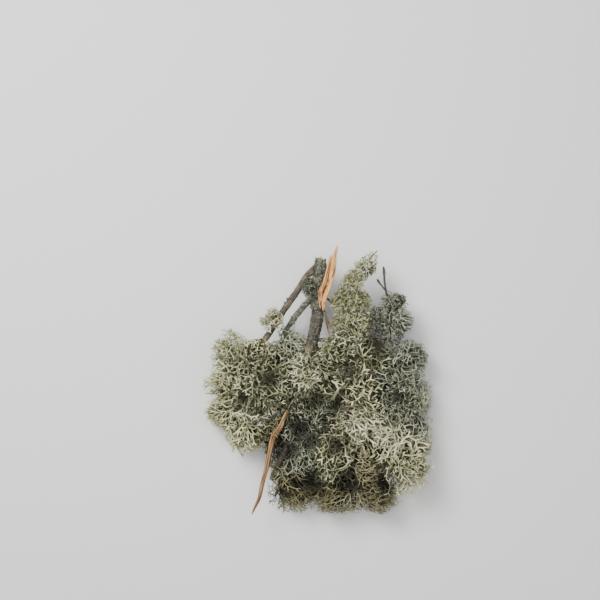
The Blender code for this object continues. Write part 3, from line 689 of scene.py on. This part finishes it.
# and between tufts that grew into each other: x and y in pixels, height and reach in mm
BETWEEN = [(388, 352, 30, 12), (420, 381, 26, 11), (421, 421, 26, 11), (315, 497, 22, 12),
           (356, 500, 24, 12), (283, 470, 22, 13), (268, 414, 24, 10), (277, 421, 26, 10),
           (352, 345, 36, 10), (350, 313, 41, 12), (349, 292, 42, 9), (359, 274, 42, 8),
           (314, 501, 21, 15), (393, 500, 23, 15), (273, 460, 24, 11), (272, 410, 22, 10),
           (357, 372, 26, 12), (421, 452, 25, 11), (346, 367, 18, 10), (382, 432, 45, 10),
           (372, 257, 39, 5), (390, 346, 19, 9), (398, 372, 18, 11), (266, 417, 14, 9)]
# Hollows go down into the mass between the tufts, dark with painted shade: middles in pixels, height and
# reach in mm
HOLLOWS = in_metres([(299, 430, 48, 9), (284, 452, 46, 10.5), (317, 398, 50, 7), (338, 404, 56, 9),
                     (338, 445, 52, 8), (325, 418, 50, 4), (325, 429, 50, 4.5), (377, 344, 46, 8),
                     (352, 372, 52, 6), (373, 362, 50, 4), (272, 378, 56, 6), (398, 396, 52, 4.5),
                     (314, 480, 44, 8), (347, 482, 44, 8), (386, 482, 44, 8), (243, 398, 50, 5),
                     (309, 440, 50, 6), (279, 497, 34, 6), (297, 486, 38, 4), (376, 331, 42, 5),
                     (411, 299, 42, 6), (405, 334, 40, 5), (261, 313, 46, 4)])
# The mass is a blend of egg shapes, one round each solid and one ball at each of those places
FULLNESS = 1.04
sleeves = np.vstack(sleeves + [in_metres(BETWEEN)])
MIDDLES = np.array([(points.min(axis=0) + points.max(axis=0)) / 2 for points in SOLIDS.values()])
MIDDLES = np.vstack([MIDDLES, sleeves[:, :3]])
HALVES = np.array([np.ptp(points, axis=0) / 2 * FULLNESS for points in SOLIDS.values()])
HALVES = np.vstack([HALVES, np.repeat(sleeves[:, 3:], 3, axis=1)])
# How much each cell of the box holds: wood from the start, and the straps as they grow
CROWD_CELL = 3.5 * MM
crowd = np.zeros(np.ceil((box_high - box_low) / CROWD_CELL).astype(int) + 3)


def cell_of(points):
    """The index of the cell that each point is in."""
    cells = np.floor((points - box_low) / CROWD_CELL).astype(int) + 1
    return tuple(np.clip(cells, 0, np.array(crowd.shape) - 1).T)


np.add.at(crowd, cell_of(WOOD_ROWS[:, :3]), 1.0)


def into_hollow(points):
    """Distance to the edge of the nearest hollow, a ball, and the direction of its middle."""
    offset = HOLLOWS[:, :3] - points[:, None]
    apart = np.linalg.norm(offset, axis=2)
    nearest = (apart - HOLLOWS[:, 3]).argmin(axis=1)
    rows = np.arange(len(points))
    apart = apart[rows, nearest]
    return apart - HOLLOWS[nearest, 3], offset[rows, nearest] / apart[:, None]


# How sharply the shapes blend, and how far a thallus may reach from its own middle, in halves of its box
BLEND = 5.0
OWN_REACH = 1.70
LUMP = 14 * MM
ABOVE_FLOOR = 0.0009
WITHIN_BOX = 0.6 * MM


def edge_of_mass(points, own, spill):
    """Distance to the nearest edge and the edge's outward direction. The edges are the blended union
    -log(sum of exp(-blend * (|p - middle| / half - 1))) / blend = 0 of all the shapes, with 10% of lumps
    and moved out by spill, the thallus' own reach, the hollows, and the sides of the whole box."""
    offset = (points[:, None] - MIDDLES) / HALVES
    far = np.linalg.norm(offset, axis=2)
    weight = np.exp(-BLEND * (far - 1))
    total = weight.sum(axis=1)
    steps = offset / HALVES / far[:, :, None]
    gradient = (weight[:, :, None] * steps).sum(axis=1) / total[:, None]
    slope = np.linalg.norm(gradient, axis=1)
    level = -np.log(total) / BLEND + 0.10 * lumps(points, LUMP, 5)
    gaps = [spill - level / slope]
    faces = [gradient / slope[:, None]]
    own_slope = np.linalg.norm(steps[:, own], axis=1)
    gaps.append((OWN_REACH - far[:, own]) / own_slope)
    faces.append(steps[:, own] / own_slope[:, None])
    hollow_gap, hollow_face = into_hollow(points)
    gaps.append(hollow_gap)
    faces.append(hollow_face)
    for axis, low in enumerate((WITHIN_BOX, WITHIN_BOX, ABOVE_FLOOR)):
        gaps.append(box_high[axis] - WITHIN_BOX - points[:, axis])
        gaps.append(points[:, axis] - box_low[axis] - low)
        for way in (1, -1):
            faces.append(np.broadcast_to(np.eye(3)[axis] * way, points.shape))
    nearest = np.argmin(gaps, axis=0)
    rows = np.arange(len(points))
    return np.array(gaps)[nearest, rows], np.array(faces)[nearest, rows]


# Places all through the mass, for the straps to make for, and how far each lies from the middle of each
# solid, in halves of its box
PLACES_TRIED = 60000
FIRST_SEED = 300
chance = np.random.default_rng(FIRST_SEED)
places = chance.uniform(box_low, box_high, (PLACES_TRIED, 3))
far = np.linalg.norm((places[:, None] - MIDDLES) / HALVES, axis=2)
inside = (np.exp(-BLEND * (far - 1)).sum(axis=1) > 1) & (into_hollow(places)[0] > 0)
places, far = places[inside], far[inside, :len(SOLIDS)]


# A strap's thickness as a share of its width, and the lowest that its skin may lie
STRAP_THICKNESS = 0.26
LOWEST_SKIN = 0.2 * MM


class StrapSkin:
    """Points and faces of many straps. A ring has four points: left edge, top, right edge and bottom,
    at centre +- side * width / 2, centre + facing * thick / 2 and centre - facing * thick / 3. Each point
    carries three numbers: under, 1 on the lower side and 0 on top; age, 0 at the holdfast and 1 at the
    tips; and the strap's own tone."""

    def __init__(self):
        self.points, self.faces, self.values = [], [], []
        self.total = 0

    def put(self, rows, under, age, tone):
        """Adds points, none lower than the surface below, and gives their numbers."""
        self.points.append(np.column_stack([rows[:, :2], np.maximum(rows[:, 2], LOWEST_SKIN)]))
        self.values.append(np.column_stack([np.full(len(rows), under), age, tone]))
        self.total += len(rows)
        return np.arange(self.total - len(rows), self.total)

    def ring(self, centre, side, facing, width, values):
        """A ring round each centre."""
        half = side * width[:, None] / 2
        thick = facing * (width[:, None] * STRAP_THICKNESS)
        around = ((half, 0.5), (thick / 2, 0.0), (-half, 0.5), (-thick / 3, 1.0))
        return np.stack([self.put(centre + step, under, *values) for step, under in around], axis=1)

    def close(self, ring, tip):
        """A fan from the last ring onto its tip."""
        for n in range(4):
            self.faces.append(np.stack([ring[:, n], ring[:, (n + 1) % 4], tip], axis=1))

    def bridge(self, ring, following):
        """Quads from one ring to the next."""
        for n in range(4):
            m = (n + 1) % 4
            quad = ring[:, n], ring[:, m], following[:, m], following[:, n]
            self.faces.append(np.stack(quad, axis=1))

    def fork(self, ring, here, heading, facing, width, run_left, run_right, widths, values):
        """Two rings that share the crotch point between them, joined to the ring that they come from: the
        crotch lies 0.42 of the width ahead, and the outer edges 0.35 of it along either run."""
        ahead = (width * 0.35)[:, None]
        left = here + run_left * ahead + np.cross(facing, run_left) * widths[:, :1] * 0.72
        right = here + run_right * ahead - np.cross(facing, run_right) * widths[:, 1:] * 0.72
        crotch = here + heading * (width * 0.42)[:, None]
        thick = facing * (widths.mean(axis=1, keepdims=True) * STRAP_THICKNESS)
        middles = (left + crotch) / 2, (right + crotch) / 2
        at_left, at_crotch, at_right = (self.put(p, 0.5, *values) for p in (left, crotch, right))
        top_left, top_right = (self.put(p + thick / 2, 0.0, *values) for p in middles)
        low_left, low_right = (self.put(p - thick / 3, 1.0, *values) for p in middles)
        near_left, top, near_right, bottom = ring.T
        self.faces += [np.stack(face, axis=1) for face in (
            (near_left, top, top_left, at_left), (top, at_crotch, top_left), (top, top_right, at_crotch),
            (top, near_right, at_right, top_right), (near_left, at_left, low_left, bottom),
            (bottom, low_left, at_crotch), (bottom, at_crotch, low_right),
            (bottom, low_right, at_right, near_right))]
        rings = (np.stack([at_left, top_left, at_crotch, low_left], axis=1),
                 np.stack([at_crotch, top_right, at_right, low_right], axis=1))
        return np.stack(rings, axis=1).reshape(-1, 4), np.stack(middles, axis=1).reshape(-1, 3)

    def build(self, name, shade_cover):
        """The mesh, whose points also carry how deep they lie in the mass and in a hollow, for the painted
        shade.
        """
        points = np.vstack(self.points)
        values = (*np.vstack(self.values).T, *painted_shade_at(points, shade_cover))
        names = ("under", "age", "tone", "depth", "hollow")
        return build_mesh(name, points, self.faces, dict(zip(names, values)))


def turned(vectors, axes, angles):
    """Vectors turned about unit axes at right angles to them: v cos(a) + (axis x v) sin(a)."""
    return vectors * np.cos(angles)[:, None] + np.cross(axes, vectors) * np.sin(angles)[:, None]


def dot(a, b):
    """The dot product of each row of one with the same row of the other."""
    return (a * b).sum(axis=1, keepdims=True)


def sphere(count):
    """Even directions: z = 1 - (2n + 1)/count, at the golden angle times n."""
    n = np.arange(count)
    z = 1 - (2 * n + 1) / count
    angle = n * math.pi * (3 - math.sqrt(5))
    ring = np.sqrt(1 - z * z)
    return np.column_stack([ring * np.cos(angle), ring * np.sin(angle), z])


def holdfast(node, wood, bunch, chance):
    """Where each strap of a bunch leaves the bark and which way: from feet near the solid, in even
    directions, the ones nearest to the way to the solid's middle, mixed with 0.35 of that way and 0.5 of
    the way out of the bark."""
    points = SOLIDS[node]
    rows = smooth(WOOD[wood], MM)
    apart = np.linalg.norm(points[:, None] - rows[None, :, :3], axis=2) - rows[None, :, 3]
    closest = np.unravel_index(apart.argmin(), apart.shape)[1]
    reach = round(0.30 * np.ptp(points, axis=0).max() / MM)
    foot = rows[np.clip(closest + chance.integers(-reach, reach + 1, bunch), 0, len(rows) - 1)]
    aim = unit(MIDDLES[list(SOLIDS).index(node)] - foot[:, :3])
    outward = unit(aim + chance.normal(0, 0.35, (bunch, 3)))
    spread = unit(sphere(bunch * 3) + chance.normal(0, 0.2, (bunch * 3, 3)))
    spread = spread[np.argsort(-(spread @ aim.mean(axis=0)))[:bunch]]
    return foot[:, :3] + outward * foot[:, 3:4] * 0.9, unit(spread + 0.35 * aim + 0.5 * outward)


# How many places a strap chooses from, and what a cell holds where it counts as crowded
PLACES_SEEN = 12
CROWDED = 5.0


def best_place(centre, heading, low, room, chance):
    """The way to one of a few places of the thallus' room for each strap, the one that lies most ahead
    and is least crowded. A low strap also likes it to lie below."""
    count = len(centre)
    seen = room[chance.integers(0, len(room), (count, PLACES_SEEN))] - centre[:, None]
    full = crowd[cell_of((centre[:, None] + seen).reshape(-1, 3))].reshape(count, PLACES_SEEN)
    worth = ((unit(seen) * heading[:, None]).sum(axis=2) - 0.30 * np.minimum(full, CROWDED)
             - 1.2 * low[:, None] * unit(seen)[..., 2])
    return seen[np.arange(count), worth.argmax(axis=1)]


LOOK_AHEAD = 4 * MM


def leaning(centre, heading, side, facing, sway, curl):
    """heading + side * (sway + 0.35 lean) + facing * (curl + 0.28 lean), where a lean is the difference of
    what the cells on either hand hold over their sum, towards the emptier one."""
    ahead = centre + heading * LOOK_AHEAD
    left, right, up, down = (crowd[cell_of(ahead + way * LOOK_AHEAD)]
                             for way in (side, -side, facing, -facing))
    lean_side = (right - left) / (left + right + 0.5)
    lean_up = (down - up) / (up + down + 0.5)
    return unit(heading + side * (sway + 0.35 * lean_side)[:, None]
                + facing * (curl + 0.28 * lean_up)[:, None])


# How far the tips of a tuft of full size may stick out of the mass, how near its edge a strap turns along
# it, how much of its rise a strap keeps, and what a square metre of strap adds to a cell
FREE_TIPS = 4 * MM
FULL_SIZE = 20 * MM
TURNING_ZONE = 7 * MM
PRESSED = 0.90
CROWD_PER_AREA = 3e5


def thallus(node, wood, bunch, forks, stride, width, seed):
    """Straps that grow ring by ring: heading(n+1) = heading(n) + side * sway + facing * curl, turned along
    the room's edge where it is near and towards the emptier side. At each fork the heading parts in two.
    Every third strap of the bunch is a broad one that stays low."""
    chance = np.random.default_rng(seed)
    own = list(SOLIDS).index(node)
    free_tips = FREE_TIPS * min(1, HALVES[own].mean() / FULL_SIZE)
    room = places[far[:, own] < np.minimum(far.min(axis=1) + 0.30, OWN_REACH)]
    centre, heading = holdfast(node, wood, bunch, chance)
    side = unit(np.cross(heading, unit(chance.normal(0, 1, (bunch, 3)))))
    facing = np.cross(heading, side)
    wide = width * chance.uniform(1.0, 1.6, bunch)
    tone = chance.uniform(0, 1, bunch)
    low = (np.arange(bunch) % 3 == 0).astype(float)
    wide = wide * (1 + 0.5 * low)
    skin = StrapSkin()
    start = skin.ring(centre, side, facing, wide, (np.zeros(bunch), tone))
    skin.faces.append(start[:, ::-1])
    for step in range(forks + 1):
        last = step == forks
        count = len(centre)
        part = step / forks
        length = stride * (1.15 - 0.6 * part - 0.2 * last) * chance.uniform(0.65, 1.35, count)
        rings = 2 if last or step > 2 else 3
        sway = chance.normal(0, 0.20, count)
        curl = chance.normal(0, 0.15, count) + 0.06 * part
        seen = best_place(centre, heading, low, room, chance)
        toward = unit(seen)
        heading = unit(heading + (0.80 - 0.60 * part) * (toward - heading * dot(toward, heading)))
        wanted = np.linalg.norm(seen, axis=1) / (forks + 1 - step) * 1.2
        length = np.clip(wanted, length * 0.7, length * 1.5)
        full = crowd[cell_of(centre + heading * LOOK_AHEAD)]
        outside = edge_of_mass(centre + heading * length[:, None], own, 0.0)[0] < 0
        likely = np.where(outside, 0.35, 0.92) - 0.45 * np.clip(full / CROWDED - 0.4, 0, 1)
        goes_on = chance.uniform(0, 1, count) < (0.0 if last else 0.98 if step < 2 else likely)
        length = np.where(goes_on | last, length, length * 0.62)
        for ring_number in range(1, rings + 1):
            share = ring_number / rings
            side = unit(np.cross(facing, heading))
            heading = leaning(centre, heading, side, facing, sway, curl)
            if step > 1:
                heading = unit(heading * [1, 1, PRESSED])
            spill = free_tips if step >= forks - 1 else 0.0
            gap, face = edge_of_mass(centre, own, spill)
            near = np.clip(1 - gap / TURNING_ZONE, 0, 1)[:, None]
            heading = unit(heading - face * np.maximum(dot(heading, face), 0) * near * 0.9)
            centre = centre + heading * (length / rings)[:, None]
            gap, face = edge_of_mass(centre, own, spill)
            centre = centre - face * np.maximum(-gap, 0)[:, None]
            if step:
                centre = clear_of_wood(centre)
            aligned = np.where(dot(facing, face) < 0, -face, face) * (0.12 + 0.45 * near)
            facing = unit(facing + aligned)
            facing = unit(facing - heading * dot(facing, heading))
            side = np.cross(facing, heading)
            waist = 1 - 0.25 * math.sin(math.pi * share)
            taper = np.where(goes_on, 1.0, 1 - 0.35 * share**2)
            wide_here = wide * waist * taper
            age = np.full(count, (step + share) / (forks + 1))
            np.add.at(crowd, cell_of(centre), wide * length / rings * CROWD_PER_AREA)
            if ring_number < rings:
                ring = skin.ring(centre, side, facing, wide_here, (age, tone))
                skin.bridge(start, ring)
                start = ring
        ended = ~goes_on
        skin.close(start[ended], skin.put(centre[ended], 0.5, age[ended], tone[ended]))
        if not goes_on.any():
            break
        centre, heading, facing, side, wide, wide_here, tone, low, start, age = (
            values[goes_on]
            for values in (centre, heading, facing, side, wide, wide_here, tone, low, start, age))
        ring = skin.ring(centre, side, facing, wide_here, (age, tone))
        skin.bridge(start, ring)
        start = ring
        count = len(centre)
        opening = chance.uniform(0.30, 0.85, (2, count))
        left = turned(heading, facing, opening[0])
        right = turned(heading, facing, -opening[1])
        widths = np.maximum(wide[:, None] * chance.uniform(0.74, 1.0, (count, 2)), width * 0.36)
        start, centre = skin.fork(start, centre, heading, facing, wide, left, right, widths, (age, tone))
        heading = np.stack([left, right], axis=1).reshape(-1, 3)
        facing = np.repeat(facing, 2, axis=0)
        side = np.cross(facing, heading)
        facing = turned(facing, heading, chance.normal(0, 0.35, 2 * count))
        wide = widths.reshape(-1)
        tone = np.repeat(tone, 2) * 0.85 + chance.uniform(0, 0.15, 2 * count)
        low = np.repeat(low, 2)
    return skin


# This cover only sets the painted shade deep in the lichen mass
def cover_for_painted_shade():
    """How much strap and wood lies between each cell and the open air: running sums of the crowd along
    five ways, of which the least counts. The sixth way leads to the surface below."""
    ways = []
    for axis, flip in ((0, False), (0, True), (1, False), (1, True), (2, True)):
        block = np.flip(crowd, axis) if flip else crowd
        passed = np.cumsum(block, axis=axis) - 0.5 * block
        ways.append(np.flip(passed, axis) if flip else passed)
    return np.min(ways, axis=0)


# What a unit of the crowd adds to the depth of the painted shade, a hollow's own cover, how much wider than
# the hollow its painted shade is, and how much a way down counts in it
SHADE_COVER_SCALE = 0.22
HOLLOW_SHADE_COVER = 11.0
HOLLOW_SHADE = 1.30
HOLLOW_DROP = 0.45


def painted_shade_at(points, shade_cover):
    """The depth and the hollow, which set the lichen's painted shade: the depth, 1 - exp(-scale * (cover +
    hollow's cover * hollow)), with the cover read between the middles of the eight nearest cells, and the
    hollow, exp(-(distance / (shade * reach))^2) from the nearest hollow's middle, where a way down from it
    counts less."""
    at = (points - box_low) / CROWD_CELL + 0.5
    low = np.floor(at).astype(int)
    t = at - low
    cover = 0.0
    for corner in np.ndindex(2, 2, 2):
        cells = tuple(np.clip(low + corner, 0, np.array(crowd.shape) - 1).T)
        cover = cover + shade_cover[cells] * np.prod(np.where(np.array(corner) == 1, t, 1 - t), axis=1)
    offset = points[:, None] - HOLLOWS[:, :3]
    offset[..., 2] *= np.where(offset[..., 2] < 0, HOLLOW_DROP, 1)
    apart = np.linalg.norm(offset, axis=2) / HOLLOWS[:, 3]
    hollow = np.exp(-(apart / HOLLOW_SHADE)**2).max(axis=1)
    return 1 - np.exp(-(cover + HOLLOW_SHADE_COVER * hollow) * SHADE_COVER_SCALE), hollow


BROWNED_STRAP = (0.50, 0.36, 0.16)
PAINTED_HOLLOW_SHADE = (0.012, 0.011, 0.009)


def lichen_material(name, base, pale, deep, granules):
    """Matt straps between the base and the pale colour, by their tone. Over it in turn: patches of base,
    paler tips, partly painted highlight, a few brown straps, granules below and in dust, painted shade
    inside the mass and darker growth with painted shade near the holdfast, and painted black shade in the
    hollows."""
    made, nodes, shader = material(name, 0.9)
    here = object_coordinates(nodes)
    age = attribute(nodes, "age")
    tone = attribute(nodes, "tone")
    patches = nodes.ramp(nodes.noise(here, 70, 3, 0.6), 0.4, 0.65)
    below = nodes.ramp(attribute(nodes, "under"), 0.55, 1.0)
    dust = nodes.ramp(nodes.noise(here, 1500, 3, 0.7), 0.55, 0.7)
    # Painted shade: the deep colour darkens straps deep in the mass, and near the holdfast, where it is
    # partly the older, darker growth
    shade_cover = nodes.ramp(attribute(nodes, "depth"), 0.15, 0.90)
    inside = nodes.math("MAXIMUM", shade_cover, nodes.ramp(age, 0.35, 0.0))
    # Painted shade: straps in and below the hollows go nearly black
    hollow = nodes.ramp(attribute(nodes, "hollow"), 0.42, 0.78)
    # The paler tips are partly the straps' own colour and partly painted highlight
    layers = ((patches, 0.5, base), (nodes.ramp(age, 0.6, 1.0), 0.5, pale),
              (nodes.ramp(tone, 0.13, 0.05), 0.55, BROWNED_STRAP), (below, 0.6, granules),
              (dust, 0.5, granules), (inside, 0.90, deep), (hollow, 0.72, PAINTED_HOLLOW_SHADE))
    colour = nodes.mix(nodes.ramp(tone, 0.1, 0.9), base, pale)
    for where, share, layer in layers:
        colour = nodes.mix(nodes.times(where, share), colour, layer)
    nodes.join(colour, shader.inputs["Base Color"])
    shader.inputs["Specular IOR Level"].default_value = 0.25
    bump(nodes, shader, nodes.noise(here, 900, 4, 0.65), 0.4 * MM)
    return made


# Each tint: its slot, base and pale colours, the colour deep in the mass, which is painted shade, and that
# of the granules. Three copies of cream are painted light: two lighter ones as painted highlight, one of
# them with a much lighter painted shade too, and a darker one as painted shade. The open tints carry a
# lighter painted shade than the others, and olive is dark partly as painted shade for the lowest tufts.
TINTS = {
    "cream": ("lichen_cream", (0.52, 0.51, 0.265), (0.90, 0.885, 0.51),
              (0.080, 0.077, 0.048), (0.93, 0.90, 0.60)),
    "lit_cream": ("lichen_cream", (0.67, 0.655, 0.375), (0.94, 0.925, 0.61),
               (0.15, 0.14, 0.085), (0.95, 0.93, 0.68)),
    "sunlit": ("lichen_cream", (0.67, 0.655, 0.375), (0.94, 0.925, 0.61),
               (0.42, 0.40, 0.26), (0.95, 0.93, 0.74)),
    "shaded": ("lichen_cream", (0.128, 0.127, 0.07), (0.55, 0.545, 0.35),
               (0.014, 0.012, 0.008), (0.74, 0.72, 0.52)),
    "yellow_green": ("lichen_yellow_green", (0.355, 0.367, 0.17), (0.77, 0.78, 0.46),
                     (0.062, 0.062, 0.038), (0.86, 0.85, 0.61)),
    "open_green": ("lichen_yellow_green", (0.42, 0.42, 0.205), (0.83, 0.82, 0.50),
                   (0.21, 0.205, 0.105), (0.88, 0.86, 0.60)),
    "grey_green": ("lichen_grey_green", (0.31, 0.325, 0.21), (0.70, 0.72, 0.50),
                   (0.052, 0.055, 0.041), (0.82, 0.84, 0.66)),
    "open_grey": ("lichen_grey_green", (0.20, 0.212, 0.14), (0.50, 0.52, 0.37),
                  (0.10, 0.104, 0.07), (0.60, 0.62, 0.48)),
    "dull_grey": ("lichen_grey_green", (0.20, 0.212, 0.14), (0.50, 0.52, 0.37),
                  (0.062, 0.066, 0.051), (0.62, 0.64, 0.49)),
    "olive": ("lichen_olive", (0.128, 0.116, 0.054), (0.38, 0.355, 0.185),
              (0.010, 0.009, 0.006), (0.50, 0.47, 0.30)),
    "browned": ("lichen_olive", (0.26, 0.225, 0.108), (0.62, 0.575, 0.33),
                (0.030, 0.026, 0.014), (0.68, 0.64, 0.42)),
}
FINISHES = {tint: lichen_material("lichen_" + tint, *row[1:]) for tint, row in TINTS.items()}
# Each thallus, in the order of the solids on its wood: straps at the holdfast, forks, distance between
# forks and width of a strap in mm, and tint
THALLI = {
    "main_stem": [(36, 4, 3.3, 1.2, "open_grey")],
    "grey_limb": [(15, 5, 5.0, 1.5, "grey_green")],
    "lower_stem": [(12, 5, 4.5, 1.6, "lit_cream"), (12, 6, 8.0, 2.0, "yellow_green"),
                   (12, 6, 8.0, 2.0, "yellow_green"), (11, 6, 8.0, 2.1, "grey_green"),
                   (11, 6, 8.0, 2.0, "yellow_green"), (11, 6, 8.0, 2.2, "grey_green"),
                   (16, 6, 9.6, 1.9, "olive"), (14, 5, 7.5, 1.8, "olive"),
                   (14, 5, 5.5, 1.8, "shaded")],
    "cross_limb": [(11, 5, 5.5, 1.9, "yellow_green")],
    "upright_a": [(18, 5, 5.2, 1.35, "open_green"), (18, 5, 5.2, 1.45, "cream"),
                  (17, 5, 5.0, 1.30, "open_green"), (17, 5, 5.0, 1.30, "open_green"),
                  (17, 5, 5.0, 1.25, "open_green"), (15, 5, 4.8, 1.20, "yellow_green")],
    "upright_b": [(17, 5, 5.2, 1.4, "dull_grey"), (16, 5, 5.2, 1.4, "dull_grey"),
                  (17, 5, 4.0, 1.2, "dull_grey")],
    "down_twig_1": [(12, 6, 7.5, 2.2, "yellow_green"), (14, 5, 10.0, 2.9, "cream"),
                    (14, 5, 10.0, 2.8, "sunlit"), (14, 5, 10.0, 2.8, "cream"),
                    (20, 6, 8.0, 1.5, "browned"), (11, 6, 8.0, 2.2, "yellow_green"),
                    (19, 6, 9.4, 1.4, "olive"), (19, 6, 8.6, 1.4, "olive")],
    "down_twig_2": [(14, 6, 8.0, 1.8, "grey_green"), (14, 6, 7.0, 1.8, "dull_grey"),
                    (13, 6, 7.0, 1.6, "grey_green"), (18, 5, 10.0, 2.5, "sunlit"),
                    (12, 6, 6.2, 1.7, "dull_grey"), (12, 6, 6.2, 1.7, "grey_green"),
                    (13, 6, 8.2, 1.9, "cream")],
    "brown_limb": [(11, 4, 5.2, 2.0, "lit_cream"), (12, 6, 7.0, 2.1, "yellow_green"),
                   (13, 5, 5.0, 2.1, "cream"), (12, 6, 7.5, 1.9, "yellow_green"),
                   (12, 6, 7.5, 2.0, "cream"), (12, 6, 6.8, 1.9, "yellow_green"),
                   (12, 6, 6.8, 1.9, "lit_cream"), (12, 6, 6.8, 1.9, "cream"), (12, 5, 7.4, 2.9, "cream")],
}
seed = FIRST_SEED
grown = []
for wood, rows in THALLI.items():
    for number, (bunch, forks, stride, width, tint) in enumerate(rows, 1):
        seed += 1
        node = f"lichen_{wood}_{number}"
        grown.append((node, tint, thallus(node, wood, bunch, forks, stride * MM, width * MM, seed)))
shade_cover = cover_for_painted_shade()
for node, tint, skin in grown:
    piece = skin.build("thallus_" + node.removeprefix("lichen_"), shade_cover)
    place(piece, node, FINISHES[tint])


# The surface it lies on, an even pale light with three lamps, and the camera, which looks straight down.
# At the branch's middle height its picture has the photograph's scale.
FLOOR = 3.0
corners = np.array([(-FLOOR, -FLOOR, 0), (FLOOR, -FLOOR, 0), (FLOOR, FLOOR, 0), (-FLOOR, FLOOR, 0)])
floor = build_mesh("floor", corners, [np.array([(0, 1, 2, 3)])])
floor_finish, _, floor_shader = material("floor", 0.8)
floor_shader.inputs["Base Color"].default_value = (0.86, 0.86, 0.855, 1)
floor.data.materials.append(floor_finish)

world = bpy.data.worlds.new("studio")
bpy.context.scene.world = world
world.use_nodes = True
world.node_tree.nodes["Background"].inputs["Color"].default_value = (1, 1, 1, 1)
world.node_tree.nodes["Background"].inputs["Strength"].default_value = 0.24


def lamp(name, spot, size, power):
    """A square lamp that looks at the middle: tilted by atan2(level distance, height) from straight down,
    and turned by atan2(-x, y) + pi."""
    light = bpy.data.lights.new(name, "AREA")
    light.size = size
    light.energy = power
    holder = bpy.data.objects.new(name, light)
    bpy.context.scene.collection.objects.link(holder)
    holder.location = spot
    x, y, z = spot
    holder.rotation_euler = (math.atan2(math.hypot(x, y), z), 0, math.atan2(-x, y) + math.pi)


lamp("key", (-0.7, 0.8, 1.3), 0.7, 31)
lamp("top", (-0.1, 0.2, 1.6), 1.0, 14)
lamp("fill", (0.9, -0.5, 1.2), 1.2, 5)

LENS = 85
SENSOR = 36
PHOTO_WIDTH = 600
FRAME_WIDTH = PHOTO_WIDTH * PIXEL
MID_HEIGHT = 0.035
camera_data = bpy.data.cameras.new("camera")
camera_data.lens = LENS
camera_data.sensor_width = SENSOR
camera = bpy.data.objects.new("camera", camera_data)
bpy.context.scene.collection.objects.link(camera)
camera.location = ((PHOTO_WIDTH / 2 - MIDDLE_PIXEL[0]) * PIXEL, (MIDDLE_PIXEL[1] - PHOTO_WIDTH / 2) * PIXEL,
                   MID_HEIGHT + FRAME_WIDTH * LENS / SENSOR)
bpy.context.scene.camera = camera
